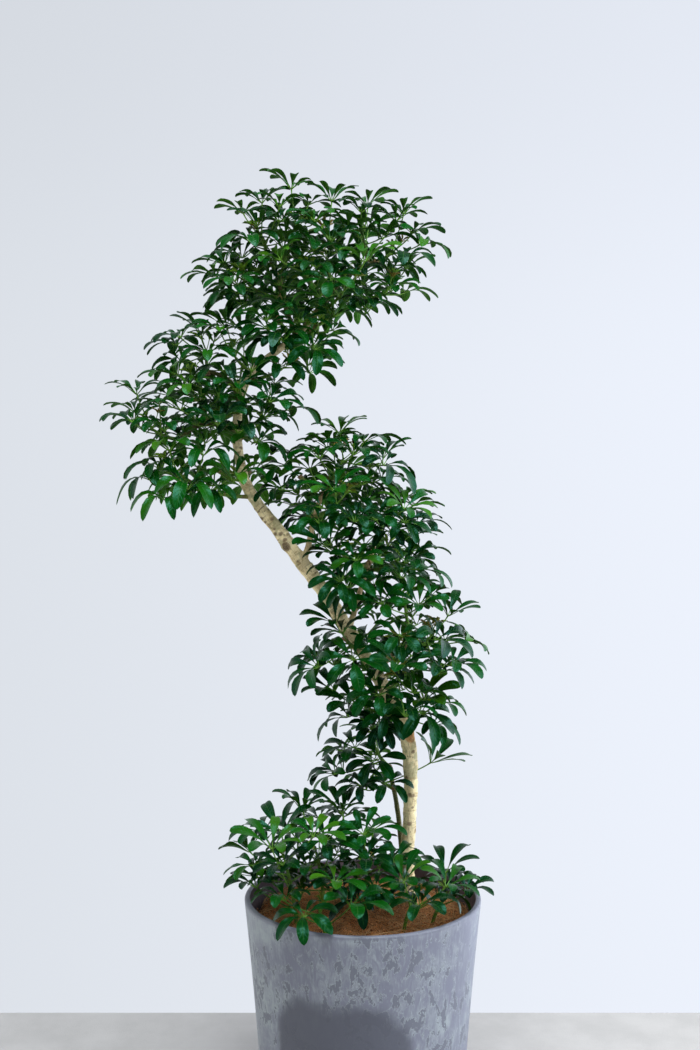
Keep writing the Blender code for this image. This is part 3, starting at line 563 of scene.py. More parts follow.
def bark_relief(upright, girths, draw, knots):
    """How far the bark stands out at each upright place, in millimetres, and how scarred it is there."""
    length = upright[:, 2].max()
    turns = np.arctan2(upright[:, 1], upright[:, 0])
    lift = np.array([sum(noise.noise(Vector(p) / size) * high for size, high in BARK_LUMPS) for p in upright])
    scars = np.zeros(len(upright))
    at = draw.uniform(*RING_SPACING)
    while at < length:
        lean, phase = draw.uniform(0, 1.6), draw.uniform(0, 2 * math.pi)
        strength = draw.uniform(0.2, 0.7)
        off = upright[:, 2] - at - lean * np.sin(turns + phase)
        part = np.clip(0.35 + 0.75 * np.sin(turns + phase * 3), 0, 1)
        lift += strength * part * (np.exp(-((off / 1.3) ** 2)) - 0.7 * np.exp(-(((off - 2.2) / 1.0) ** 2)))
        scars += strength * part * np.exp(-(((off - 2.0) / 1.3) ** 2))
        at += draw.uniform(*RING_SPACING)
    for _ in range(knots):
        at, phase = draw.uniform(0, length), draw.uniform(-math.pi, math.pi)
        size, height = draw.uniform(2.4, 5.2), draw.uniform(0.5, 1.6)
        around = np.abs((turns - phase + math.pi) % (2 * math.pi) - math.pi) * girths
        away = np.hypot(upright[:, 2] - at, around * 0.8)
        lift += height * (np.exp(-((away / size) ** 2)) - 1.3 * np.exp(-((away / (size * 0.4)) ** 2)))
        scars += np.exp(-((away / (size * 0.6)) ** 2))
    return lift * np.clip(girths / 11, 0.35, 1), np.clip(scars, 0, 1)


def make_bark_finish(name, ground, tan, young):
    made, start, shader = new_finish(name, Specular_IOR_Level=0.06)
    grain = start.kept("grain")
    girth, scar, cut = start.kept("wood").parts()
    height = start.place().parts()[2]
    blotch = grain.scaled((1, 1, 0.55)).noise(70, 6, 0.7, 0.6)
    fissures = grain.scaled((1, 1, 0.13)).noise(520, 4, 0.6)
    rings = grain.scaled((0.12, 0.12, 1)).noise(330, 3, 0.6)
    fine = grain.noise(1100, 4, 0.7)
    colour = (blotch * 0.6 + rings * 0.2 + fine * 0.2).rise(0.46, 0.6).paint(ground, tan)
    colour = (grain.noise(36, 4, 0.65).rise(0.5, 0.6) * 0.6).paint(colour, BARK_MOSS)
    colour = (fissures.rise(0.53, 0.68) * 0.55).paint(colour, BARK_BROWN)
    colour = (scar.rise(0.12, 0.6) * 0.8 + rings.rise(0.6, 0.7) * 0.35).paint(colour, BARK_BROWN)
    spots = 1 - grain.scaled((1, 1, 0.7)).cells(190).rise(0.06, 0.24)
    chosen = grain.noise(75, 2, 0.5).rise(0.48, 0.6)
    colour = (spots * chosen * 0.85 + scar.rise(0.7, 1.0) * 0.5).paint(colour, BARK_DARK)
    colour = ((1 - girth.rise(0.003, 0.0075)) * 0.75).paint(colour, young)
    colour = (fine.rise(0.45, 0.75) * 0.5).paint(colour, BARK_PALE)
    # Thin wood up in the crown is painted dark green: partly its young green bark, partly painted shade of
    # the leaves around it
    colour = ((1 - girth.rise(0.0046, 0.0054)) * height.rise(1.0, 1.05) * 0.9).paint(colour, BARK_GREEN_SHADED)
    raw_wood = (blotch * 0.5 + fine * 0.5).rise(0.45, 0.6).paint(BARK_CUT, BARK_BROWN)
    colour = (cut.rise(0.0, 0.5) * 0.8).paint(colour, raw_wood)
    relief = fissures * -0.5 + rings * 0.3 + fine * 0.6 - spots * chosen * 0.6 + blotch * 0.5
    connect(shader, start, relief, 1.2, Base_Color=colour, Roughness=0.62 + fine * 0.22)
    return made


def make_wood(name, lines, knobs, voxel, draw, knots, finish):
    """Round bars along the lines, grown together, with the relief of bark."""
    points, faces = [], []
    for line in lines:
        centres, radii = [Vector(row[:3]) for row in line], [row[3] for row in line]
        join(points, faces, *bar(centres, radii, BARK_SIDES, FRONT))
    wood = add_piece(name, [p * MM for p in points], faces, [finish])
    for centre, radius, _ in knobs:
        shape = bmesh.new()
        shape.from_mesh(wood.data)
        made = bmesh.ops.create_icosphere(shape, subdivisions=3, radius=radius * MM)["verts"]
        bmesh.ops.translate(shape, verts=made, vec=Vector(centre) * MM)
        shape.to_mesh(wood.data)
        shape.free()
    remesh = wood.modifiers.new("grow", "REMESH")
    remesh.mode = "VOXEL"
    remesh.voxel_size = voxel * MM
    ease = wood.modifiers.new("ease", "SMOOTH")
    ease.factor = 0.5
    ease.iterations = 6
    bake(wood)
    mesh = wood.data
    places, outward = np.empty(len(mesh.vertices) * 3), np.empty(len(mesh.vertices) * 3)
    mesh.vertices.foreach_get("co", places)
    mesh.vertex_normals.foreach_get("vector", outward)
    places = places.reshape(-1, 3)
    upright, girths = straighten([Vector(p) / MM for p in places], lines)
    lift, scars = bark_relief(upright, girths, draw, knots)
    mesh.vertices.foreach_set("co", (places + outward.reshape(-1, 3) * lift[:, None] * MM).ravel())
    mesh.shade_smooth()
    set_vectors(wood, "grain", upright * MM)
    cuts = np.zeros(len(places))
    for centre, radius, fresh in knobs:
        away = np.linalg.norm(places / MM - np.array(centre), axis=1)
        near = np.clip(2 - away / radius, 0, 1)
        cuts = np.maximum(cuts, near * fresh)
        scars = np.maximum(scars, near * (1 - fresh))
    set_vectors(wood, "wood", np.stack([girths * MM, scars, cuts], 1))
    return wood


wood_lines = [smooth_line(rows, BARK_STEP) for rows in [TRUNK, *BOUGHS]]
bark = make_bark_finish("bark_pale", BARK_PALE, BARK_TAN, BARK_YOUNG)
trunk = make_wood("trunk_and_boughs", wood_lines, STUBS, BARK_VOXEL, random.Random("bark"), KNOTS, bark)
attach(trunk, "root")
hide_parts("trunk")

# A second, thinner stem from the same roots: young wood with darker bark, painted darker still as painted
# shade of the leaves before it, which rises out of the soil behind the trunk and carries a part of the shoots
# at its foot.
SECOND_STEM = [
    (66, 63, 285, 5.3), (66, 61, 330, 5.0), (63, 56, 400, 4.4), (55, 49, 470, 3.9), (42, 45, 530, 3.4),
]
STEM_VOXEL = 0.9
STEM_KNOTS = 12
# Its olive and green bark colours are darkened by painted shade
STEM_OLIVE_SHADED = (0.13, 0.15, 0.065)
STEM_GREEN_SHADED = (0.045, 0.07, 0.02)
second_line = smooth_line(SECOND_STEM, BARK_STEP)
shaded_young_bark = make_bark_finish("bark_brown", STEM_OLIVE_SHADED, BARK_BROWN, STEM_GREEN_SHADED)
draw = random.Random("second")
second = make_wood("second_stem_wood", [second_line], [], STEM_VOXEL, draw, STEM_KNOTS, shaded_young_bark)
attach(second, "root")
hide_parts("second_stem")

# The leafy shoots and low plants: each is a soft stem with compound leaves on long stalks. A leaf is a ring
# of seven or so leathery leaflets that rise from its hub and arch over, glossy dark green above and pale
# green below. The frame's solids give every hub, leaflet, stalk and stem; the fine pieces follow them.
WELD = 1e-5
HUB_TOP = 1.2
HUB_REACH = 5.5
HUB_UNDER_REACH = 2.7
LEAST_RIM = 24
SHOULDER_AT = 0.62
FINE_GRID = ([0, 0.07, 0.14, 0.24, 0.36, 0.48, 0.6, 0.71, 0.81, 0.9, 0.965], [-1, -0.6, 0, 0.6, 1])
PLAIN_GRID = ([0, 0.13, 0.27, 0.43, 0.59, 0.74, 0.87, 0.96], [-1, -0.6, 0, 0.6, 1])
YOUNG_GRID = ([0, 0.15, 0.35, 0.6, 0.85], [-1, 0, 1])
BLADE_START = 0.13
BLADE_THICK = 0.42
LEAFSTALK_HALF = 0.6
PEAK = 1.85
BLADE_FULLNESS = {"crown": 0.78, "left": 0.79, "middle": 0.78, "lower": 0.82, "foot": 0.78, "base": 0.84}
ARCH_LIFT = 0.04
TIP_LIFTS = (0.03, 0.22)
# The shoots whose leaves hang in the light, and how much brighter and lower they are; the brightness is
# painted light
HANGING_AND_LIT = {"left_5": 0.28, "left_8": 0.22}
HANG_DOWN = 0.6
UPRIGHT = {"crown": 0.25, "left": 0.2, "middle": 0.12, "lower": 0.08, "foot": 0.1, "base": 0.2}
STALK_SIDES = 5
STALK_STEPS = 7
STEM_SIDES = 9
STEM_RADII = (3.3, 2.2)
STEM_COLLAR = 1.2
STEM_SUNK = 5
STEM_POINTS = 13
YOUNG_LEAVES = 2
LEAF_DARK = (0.0002, 0.012, 0.002)
LEAF_MID = (0.0015, 0.054, 0.0015)
LEAF_BRIGHT = (0.055, 0.155, 0.004)
LEAF_RIB = (0.04, 0.14, 0.02)
LEAF_SHINE = (0.2, 0.75, 0.6)
LEAF_UNDER = (0.06, 0.185, 0.015)
LEAF_UNDER_RIB = (0.15, 0.30, 0.06)
STALK_GREEN = (0.13, 0.27, 0.035)
STALK_DARK = (0.035, 0.11, 0.01)
YOUNG_LEAF = (0.15, 0.29, 0.02)
YOUNG_BRONZE = (0.24, 0.16, 0.03)
# The places of the finishes in a leafy piece
UPPER, UNDER, YOUNG, STALK, SHOOT = range(5)


def weld(node):
    """The node's points in millimetres, each once, and its triangles."""
    mesh = node.data
    places = np.empty(len(mesh.vertices) * 3)
    mesh.vertices.foreach_get("co", places)
    corners = np.empty(len(mesh.loops), int)
    mesh.loops.foreach_get("vertex_index", corners)
    keys = np.round(places.reshape(-1, 3) / WELD).astype(int)
    _, first, index = np.unique(keys, axis=0, return_index=True, return_inverse=True)
    points = [Vector(p) / MM for p in places.reshape(-1, 3)[first]]
    return points, index.ravel()[corners].reshape(-1, 3).tolist()


def read_shoot(node):
    """The leaves of a node, as (hub, normal, leaflets, stalk's root), and the middle line of its stem."""
    points, triangles = weld(node)
    after = [{} for _ in points]
    for a, b, c in triangles:
        after[a][b], after[b][c], after[c][a] = c, a, b
    spent = set()
    leaves = []
    for top, ring in enumerate(after):
        if len(ring) < LEAST_RIM or len(ring) % 4:
            continue
        rim = [next(i for i in ring if (points[i] - points[top]).length < HUB_REACH)]
        while len(rim) < len(ring):
            rim.append(ring[rim[-1]])
        around = [points[i] - points[top] for i in rim[::4]]
        normal = sum((a.cross(b) for a, b in zip(around, around[1:] + around[:1])), Vector()).normalized()
        hub = points[top] - normal * HUB_TOP
        under = {i for i, p in enumerate(points) if (p - hub).length < HUB_UNDER_REACH and i != top}
        beyond = {i for k in under for i in after[k]} - under - set(rim) - {top}
        root = sum((points[i] for i in beyond), Vector()) / max(1, len(beyond))
        leaflets = [tuple(points[i] for i in rim[k + 1 : k + 4]) for k in range(0, len(rim), 4)]
        leaves.append((hub, normal, leaflets, root))
        spent |= {top, *rim, *under}
    rest = np.array([p for i, p in enumerate(points) if i not in spent])
    return leaves, stem_line(rest, np.mean([leaf[3] for leaf in leaves], axis=0))


def stem_line(rest, leafy):
    """A smooth line through the middle of a stem's points, from its root to its growing tip."""
    middle = rest.mean(0)
    axis = np.linalg.svd(rest - middle)[2][0]
    if (leafy - middle) @ axis < 0:
        axis = -axis
    far = (rest - middle) @ axis
    far = (far - far.min()) / (far.max() - far.min())
    fits = [np.polyfit(far, rest[:, c], 2) for c in range(3)]
    shares = np.linspace(0, 1, STEM_POINTS)
    return [Vector([np.polyval(fit, share) for fit in fits]) for share in shares]


class Growth:
    """The points, faces, finishes and finish values of one piece as it is put together."""

    def __init__(self):
        self.points = []
        self.faces = []
        self.finishes = []
        self.values = []

    def add(self, points, faces, finishes, values):
        join(self.points, self.faces, [Vector(p) for p in points], faces)
        self.finishes += finishes if isinstance(finishes, list) else [finishes] * len(faces)
        self.values += values

    def piece(self, name, finishes):
        made = add_piece(name, [p * MM for p in self.points], self.faces, finishes, self.finishes)
        set_vectors(made, "blade", self.values)
        made.data.set_sharp_from_angle(angle=math.radians(80))
        return made


def blade_faces(grid):
    """Faces of a leaflet's grid, upper side then under side, and how many are on the upper side."""
    rows, columns = len(grid[0]), len(grid[1])
    inner = columns - 2
    tip = rows * columns
    below = tip + 1

    def under(i, j):
        return i * columns + j if j in (0, columns - 1) else below + i * inner + j - 1

    faces = []
    for i in range(rows - 1):
        for j in range(columns - 1):
            a = i * columns + j
            faces.append((a, a + 1, a + columns + 1, a + columns))
    faces += [((rows - 1) * columns + j, (rows - 1) * columns + j + 1, tip) for j in range(columns - 1)]
    upper = len(faces)
    for i in range(rows - 1):
        for j in range(columns - 1):
            faces.append((under(i, j), under(i + 1, j), under(i + 1, j + 1), under(i, j + 1)))
    faces += [(under(rows - 1, j + 1), under(rows - 1, j), tip) for j in range(columns - 1)]
    faces.append(tuple([under(0, j) for j in range(columns)] + list(reversed(range(1, columns - 1)))))
    return faces, upper


def unit(rows):
    return rows / np.linalg.norm(rows, axis=-1, keepdims=True)


def blade_width(share):
    """Half the blade's width as a share of its most, widest past the middle, with a round tip."""
    shape = 1 - np.abs(2 * np.clip(share, 0, 1) ** PEAK - 1) ** 2.2
    return np.clip(shape, 0, 1) ** 0.66


def blade_points(grid, base, shoulder, tip, side, normal, half_width, draw, fold=(0.2, 0.55)):
    """A leaflet's points: its stalklet and blade arch from base through shoulder to tip."""
    length = (tip - base).length
    base, shoulder, tip, side, normal = (np.array(v) for v in (base, shoulder, tip, side, normal))
    t = np.append(grid[0], 1.0)[:, None]
    m = SHOULDER_AT
    centre = base * (t - m) * (t - 1) / m - shoulder * t * (t - 1) / (m * (1 - m))
    centre = centre + tip * t * (t - m) / (1 - m)
    slope = base * (2 * t - m - 1) / m - shoulder * (2 * t - 1) / (m * (1 - m))
    slope = slope + tip * (2 * t - m) / (1 - m)
    centre = centre + side * (draw.uniform(-0.05, 0.05) * length * t * t)
    along = unit(slope)
    roll = draw.uniform(-0.32, 0.32) * t
    face = unit(np.cross(along, side))
    face = np.where((face @ normal)[:, None] < 0, -face, face)
    across = unit(np.cross(face, along))
    across = np.where((across @ side)[:, None] < 0, -across, across)
    across, face = across * np.cos(roll) + face * np.sin(roll), face * np.cos(roll) - across * np.sin(roll)
    share = (t - BLADE_START) / (1 - BLADE_START)
    half = LEAFSTALK_HALF + (half_width - LEAFSTALK_HALF * 0.5) * blade_width(share)
    half = np.where(t > 0.5, half - LEAFSTALK_HALF * (t - 0.5) * 2, half)[:-1]
    v = np.array(grid[1], float)[None, :]
    crease = draw.uniform(*fold) * np.clip(share[:-1] * 4, 0, 1)
    wave = draw.uniform(0, 0.05) * half_width * 2 * np.sin(t[:-1] * draw.uniform(9, 15) + draw.uniform(0, 6))
    height = half * (crease * np.abs(v) - 0.22 * crease * np.abs(v) ** 3) + wave * v * np.abs(v)
    upper = centre[:-1, None] + across[:-1, None] * (half * v)[..., None]
    upper = upper + face[:-1, None] * height[..., None]
    thick = BLADE_THICK + 0.75 * (1 - np.clip(share[:-1] * 7, 0, 1))
    drop = (thick * np.sqrt(1 - v * v))[:, 1:-1]
    lower = upper[:, 1:-1] - face[:-1, None] * drop[..., None]
    points = np.concatenate([upper.reshape(-1, 3), centre[-1:], lower.reshape(-1, 3)])
    rows, columns = np.broadcast_arrays(t[:-1], v)
    shares = np.concatenate([rows.ravel(), [1.0], rows[:, 1:-1].ravel()])
    sides = np.concatenate([columns.ravel(), [0.0], columns[:, 1:-1].ravel()])
    return points, shares, sides


def add_leaflet(growth, grid, made, tone, upper_finish, under_finish):
    points, shares, sides = made
    faces, upper = blade_faces(grid)
    finishes = [upper_finish] * upper + [under_finish] * (len(faces) - upper)
    growth.add(points, faces, finishes, [(a, b, tone) for a, b in zip(shares, sides)])


def bezier(a, b, c, d, steps):
    line = []
    for i in range(steps + 1):
        t = i / steps
        s = 1 - t
        line.append(a * s**3 + b * (3 * s * s * t) + c * (3 * s * t * t) + d * t**3)
    return line


def add_stalk(growth, stem, root, hub, normal, tone, radius=1.05):
    """A leaf's stalk from the middle of the stem to the underside of the hub, and the hub's knob."""
    start = min(stem, key=lambda p: (p - root).length)
    reach = hub - start
    leave = start + (reach * 0.33 - UP * reach.length * 0.035)
    arrive = hub - normal * 6 - reach * 0.1
    line = bezier(start, leave, arrive, hub + normal * 0.3, STALK_STEPS)
    radii = [radius * (1.7 if i == 0 else 1.35 if i == 1 else 1) for i in range(STALK_STEPS)] + [radius * 1.5]
    verts, faces = bar(line, radii, STALK_SIDES)
    shares = [i / STALK_STEPS for i in range(STALK_STEPS + 1) for _ in range(STALK_SIDES)]
    growth.add(verts, faces, STALK, [(share, 0, tone) for share in shares])
    knob, knob_faces = bar([hub - normal * 0.9, hub, hub + normal * 0.9], [1.2, 1.9, 1.0], 7)
    growth.add(knob, knob_faces, STALK, [(1, 0, tone)] * len(knob))


def add_leaf(growth, grid, leaf, stem, tone, upright, tip_lift, fullness, draw):
    hub, normal, leaflets, root = leaf
    turn = Quaternion().slerp(normal.rotation_difference(UP), upright)
    normal = turn @ normal
    for right, tip, left in leaflets:
        right, tip, left = (hub + turn @ (corner - hub) for corner in (right, tip, left))
        length = (tip - hub).length
        middle = (left + right) / 2 + (normal + UP).normalized() * (ARCH_LIFT * length)
        tip = tip + UP * (tip_lift * length)
        out = (middle - hub).normalized()
        half_width = (left - right).length / 2 * fullness
        side = (left - right).normalized()
        base = hub + (out - normal * out.dot(normal)).normalized() * 1.2
        made = blade_points(grid, base, middle, tip, side, normal, half_width, draw)
        add_leaflet(growth, grid, made, min(1, max(0, tone + draw.uniform(-0.14, 0.14))), UPPER, UNDER)
    add_stalk(growth, stem, root, hub, normal, tone)


def add_young_leaf(growth, stem, draw):
    """A young leaf beside the growing tip: short narrow leaflets, still half folded, on a thin stalk."""
    tip = stem[-1]
    along = (stem[-1] - stem[-3]).normalized()
    lean = Vector((draw.uniform(-1, 1), draw.uniform(-1, 1), draw.uniform(0.2, 1.1)))
    hub = tip + (along * 0.7 + lean * 0.8).normalized() * draw.uniform(9, 30)
    normal = (UP * 0.7 + (hub - tip).normalized()).normalized()
    first = normal.orthogonal().normalized()
    second = normal.cross(first)
    size = draw.uniform(11, 27)
    tone = draw.uniform(0, 1)
    turn_by = draw.uniform(0, 2)
    opening = draw.uniform(0.5, 1.25)
    for k in range(draw.choice((5, 6))):
        turn = turn_by + 2 * math.pi * k / 6 + draw.uniform(-0.2, 0.2)
        out = (first * math.cos(turn) + second * math.sin(turn)) * opening + normal * 0.55
        out.normalize()
        reach = size * draw.uniform(0.75, 1.1)
        middle = hub + out * reach * 0.6 + normal * reach * 0.05
        end = hub + out * reach - normal * reach * 0.06
        side = out.cross(normal).normalized()
        made = blade_points(YOUNG_GRID, hub, middle, end, side, normal, reach * 0.13, draw, (0.7, 1.1))
        add_leaflet(growth, YOUNG_GRID, made, tone, YOUNG, YOUNG)
    add_stalk(growth, stem, tip, hub, normal, 1, 0.7)


def make_leaf_finish(name, under):
    shine = 0.06 if under else 0.22
    made, start, shader = new_finish(name, Specular_IOR_Level=shine, Specular_Tint=(*LEAF_SHINE, 1))
    place = start.place()
    along, across, tone = start.kept("blade").parts()
    off = abs(across)
    rib = (1 - off.rise(0.02, 0.075)) * (1 - along.rise(0.86, 0.98))
    veins = abs((along * 11 - off * 1.3).fract() - 0.5) * 2
    vein = (1 - veins.rise(0.02, 0.24)) * (1 - off.rise(0.72, 0.97))
    mottle = place.noise(130, 3, 0.6)
    base = 1 - along.rise(0.06, 0.17)
    if under:
        colour = (tone * 0.5 + mottle * 0.5).rise(0.2, 0.9).paint(LEAF_MID, LEAF_UNDER)
        colour = (rib * 0.8 + vein * 0.25).paint(colour, LEAF_UNDER_RIB)
        relief = rib * 1.0 + vein * 0.4 + mottle * 0.1
        gloss = 0.5 + mottle * 0.1
    else:
        colour = (tone * 0.8 + mottle * 0.35).rise(0.2, 0.85).paint(LEAF_DARK, LEAF_MID)
        colour = (tone.rise(0.6, 1.0) * 0.8).paint(colour, LEAF_BRIGHT)
        edge = off.rise(0.9, 0.99)
        colour = (rib * 0.4 + vein * 0.1 + edge * 0.3).paint(colour, LEAF_RIB)
        relief = mottle * 0.12 - rib * 0.5 - vein * 0.25
        gloss = 0.17 + mottle * 0.13
    colour = (base * 0.9).paint(colour, STALK_GREEN)
    connect(shader, start, relief, 0.6, Base_Color=colour, Roughness=gloss)
    return made


def make_young_finish():
    made, start, shader = new_finish("leaf_young", Specular_IOR_Level=0.2)
    _, across, tone = start.kept("blade").parts()
    mottle = start.place().noise(260, 3, 0.6)
    colour = tone.rise(0.62, 0.95).paint(YOUNG_LEAF, YOUNG_BRONZE)
    colour = (mottle.rise(0.4, 0.8) * 0.6).paint(colour, LEAF_BRIGHT)
    rib = 1 - abs(across).rise(0.05, 0.2)
    connect(shader, start, mottle * 0.2 - rib * 0.6, 0.5, Base_Color=colour, Roughness=0.36 + mottle * 0.12)
    return made


def make_stalk_finish():
    made, start, shader = new_finish("stalk_green", Specular_IOR_Level=0.12)
    tone = start.kept("blade").parts()[2]
    streak = start.place().scaled((1, 1, 0.3)).noise(500, 3, 0.6)
    colour = (streak * 0.7 + tone * 0.4).rise(0.25, 0.75).paint(STALK_DARK, STALK_GREEN)
    connect(shader, start, streak, 0.3, Base_Color=colour, Roughness=0.38 + streak * 0.12)
    return made


def make_shoot_finish():
    """A shoot's own stem: brown and scarred where it leaves the wood, green towards its tip."""
    made, start, shader = new_finish("shoot_skin", Specular_IOR_Level=0.12)
    along, _, tone = start.kept("blade").parts()
    fine = start.place().noise(380, 4, 0.65)
    scar = 1 - abs((along * 9 + fine * 0.4).fract() - 0.5).rise(0.03, 0.12)
    streak = fine.rise(0.3, 0.7)
    green = streak.paint(STALK_DARK, STALK_GREEN)
    brown = streak.paint(BARK_BROWN, BARK_YOUNG)
    colour = (along + fine * 0.3 + tone * 0.5).rise(0.15, 0.4).paint(brown, green)
    colour = (scar * 0.6).paint(colour, BARK_BROWN)
    connect(shader, start, fine * 0.5 + scar, 0.7, Base_Color=colour, Roughness=0.5 + fine * 0.15)
    return made


def make_shoot(name, leaves, further, stem, draw):
    """A shoot's stem with its own leaves, the further ones and the young ones at its tip."""
    growth = Growth()
    low_plant = name.startswith("base")
    upright, fullness = (table[name.split("_")[0]] for table in (UPRIGHT, BLADE_FULLNESS))
    hanging_and_lit = HANGING_AND_LIT.get(name, 0)
    back = (stem[0] - stem[1]).normalized()
    line = [stem[0] + back * STEM_SUNK, *stem]
    thick, thin = STEM_RADII
    steps = len(line) - 1
    radii = [thin + (thick - thin) * (1 - i / steps) ** 0.8 for i in range(steps + 1)]
    radii[0] += STEM_COLLAR
    radii[1] += STEM_COLLAR * 0.5
    radii[-1] *= 0.6
    verts, faces = bar(line, radii, STEM_SIDES)
    values = [(i / steps, 0, float(low_plant)) for i in range(steps + 1) for _ in range(STEM_SIDES)]
    growth.add(verts, faces, SHOOT, values)
    order = sorted(leaves + further, key=lambda leaf: leaf[0].z)
    for rank, leaf in enumerate(order):
        youth = rank / max(1, len(order) - 1)
        # Low leaves on a hanging shoot are painted brighter: painted light where they hang in the lamps'
        # light
        tone = 0.3 + 0.25 * youth + draw.uniform(-0.25, 0.25) + hanging_and_lit * (1 - youth)
        tip_lift = TIP_LIFTS[0] + (TIP_LIFTS[1] - TIP_LIFTS[0]) * min(1, youth * 1.4)
        tip_lift += draw.uniform(-0.05, 0.05) - hanging_and_lit * HANG_DOWN
        grid = FINE_GRID if leaf in leaves else PLAIN_GRID
        turn_up = upright * draw.uniform(0, 2)
        add_leaf(growth, grid, leaf, stem, tone, turn_up, tip_lift, fullness, draw)
    for _ in range(YOUNG_LEAVES):
        add_young_leaf(growth, stem, draw)
    return growth


leaf_finishes = [
    make_leaf_finish("leaf_upper", False), make_leaf_finish("leaf_under", True), make_young_finish(),
    make_stalk_finish(), make_shoot_finish(),
]

# The rest of the leaves: between those that the frame holds, each shoot and low plant grows more of them,
# with seven or eight leaflets on a stalk of their own. Each takes a clear place near its own stem.

# The masses that the leaves form, as ovals in the front view: middle across and up, half width, half height
# and lean. The trunk is bare between the heights after them.
LEAF_MASSES = [
    (-118, 1402, 86, 70, -1), (36, 1393, 106, 47, -22), (-31, 1307, 96, 74, -24), (56, 1303, 59, 49, -11),
    (-184, 1300, 77, 79, -14), (-114, 1208, 101, 63, -5), (-255, 1185, 85, 69, 1), (-306, 1071, 67, 111, 41),
    (-41, 1062, 115, 32, -16), (-215, 1054, 154, 78, 37), (-62, 972, 131, 88, -19), (17, 883, 121, 111, -28),
    (83, 731, 116, 79, 16), (-21, 708, 83, 99, 20), (25, 553, 147, 65, 40), (-67, 412, 149, 95, 3),
    (1, 372, 181, 43, -11), (38, 480, 34, 78, 0),
]
VIEWER_MIDDLE = (-20, 918)
VIEWER_DISTANCE = 1730
BARE_HEIGHTS = [(400, 604), (776, 1000)]
BARE_WIDTH = 18
# The stretches of wood that leaves cover, what a leaf before each is worth, and how far its hub is from the
# wood: ahead at least, beside at most, and the least and most above
COVERED_TRUNK = [(600, 770), (1095, 1400)]
COVERED_STEM = [(390, 600)]
WORTH = (40, 150)
HIDES_AHEAD = 14
HIDES_BESIDE = 28
HIDES_ABOVE = (-5, 45)
# For each kind of shoot, the number of further leaves and the lengths of their stalks
FURTHER = {
    "crown": (18, (26, 74)), "left": (11, (26, 74)), "middle": (9, (26, 74)), "lower": (9, (26, 78)),
    "foot": (12, (26, 95)), "base": (14, (28, 110)),
}
FURTHER_TRIES = 90
FURTHER_LIFT = (-0.9, 1.0)
FURTHER_SIZE = (50, 67)
CLOSENESS = 0.76
LEAST_ROOM = 8
BOX_SPARE = 7
LEAF_RISE = (0.15, 0.55)
LEAFLET_WIDTH = 0.35
SMALLEST_LEAFLET = 0.74
STALK_SIDE_OPENING = 50


def open_leaf(hub, normal, away, count, size, draw):
    """Leaflets round a hub as (right shoulder, tip, left shoulder), the smallest on the stalk's side."""
    first = (away - normal * away.dot(normal)).normalized()
    second = normal.cross(first)
    leaf_rise = draw.uniform(*LEAF_RISE)
    opening = math.radians(STALK_SIDE_OPENING)
    spin = draw.uniform(-0.3, 0.3)
    leaflets = []
    for i in range(count):
        even = -math.pi + opening / 2 + (2 * math.pi - opening) * i / (count - 1)
        turn = even + spin + draw.uniform(-0.07, 0.07)
        rise = leaf_rise + draw.uniform(-0.08, 0.08)
        length = size * (1 - (1 - SMALLEST_LEAFLET) * (1 - math.cos(even)) / 2) * draw.uniform(0.93, 1.07)
        out = first * math.cos(turn) + second * math.sin(turn)
        side = normal.cross(out) * (LEAFLET_WIDTH / 2)
        shoulder = out * SHOULDER_AT + normal * (SHOULDER_AT * rise + 0.05)
        tip = out * 0.96 + normal * (0.96 * rise - 0.2) - UP * 0.1
        leaflets.append(tuple(hub + corner * length for corner in (shoulder - side, tip, shoulder + side)))
    return leaflets


def leaf_kites(hub, leaflets, root, size=1):
    """A leaf's leaflets and stalk as plain triangles, to test what it would cross."""
    points, faces = [], []
    for corners in leaflets:
        right, tip, left = (hub + (corner - hub) * size for corner in corners)
        first = len(points)
        points += [hub, right, tip, left]
        faces += [(first, first + 1, first + 2), (first, first + 2, first + 3)]
    first = len(points)
    points += [hub, root, root + (hub - root).orthogonal().normalized() * 1.5]
    return points, faces + [(first, first + 1, first + 2)]


def share_in_masses(points):
    """The share of these points that the front view shows in the masses of leaves and off the bare trunk."""
    p = np.array(points)
    grows = VIEWER_DISTANCE / (VIEWER_DISTANCE + p[:, 1])
    across = VIEWER_MIDDLE[0] + (p[:, 0] - VIEWER_MIDDLE[0]) * grows
    up = VIEWER_MIDDLE[1] + (p[:, 2] - VIEWER_MIDDLE[1]) * grows
    inside = np.zeros(len(p), bool)
    for middle, height, half_width, half_height, lean in LEAF_MASSES:
        cos, sin = math.cos(math.radians(lean)), math.sin(math.radians(lean))
        along = ((across - middle) * cos + (up - height) * sin) / half_width
        aside = ((up - height) * cos - (across - middle) * sin) / half_height
        inside |= along * along + aside * aside < 1
    wood = wood_lines[0]
    nearest = wood[np.abs(wood[None, :, 2] - up[:, None]).argmin(1)]
    bare = np.zeros(len(p), bool)
    for low, high in BARE_HEIGHTS:
        bare |= (low < up) & (up < high)
    bare &= (np.abs(across - nearest[:, 0]) < BARE_WIDTH) & (p[:, 1] < nearest[:, 1])
    return (inside & ~bare).mean()


def ball_round(points):
    middle = sum(points, Vector()) / len(points)
    return middle, max((p - middle).length for p in points)


class Crowd:
    """What stands in the tree's space: a further leaf has to be clear of it."""

    def __init__(self):
        self.solids = []
        self.hubs = []

    def add(self, points, faces):
        self.solids.append((*ball_round(points), BVHTree.FromPolygons(points, faces)))

    def is_clear(self, points, faces):
        middle, radius = ball_round(points)
        tree = BVHTree.FromPolygons(points, faces)
        near = (other for centre, reach, other in self.solids if (centre - middle).length < reach + radius)
        return not any(other.overlap(tree) for other in near)

    def room_round(self, hub):
        return float(np.linalg.norm(np.array(self.hubs) - np.array(hub), axis=1).min())


def in_box(points, low, high, spare):
    return all(low[c] - spare < p[c] < high[c] + spare for p in points for c in range(3))


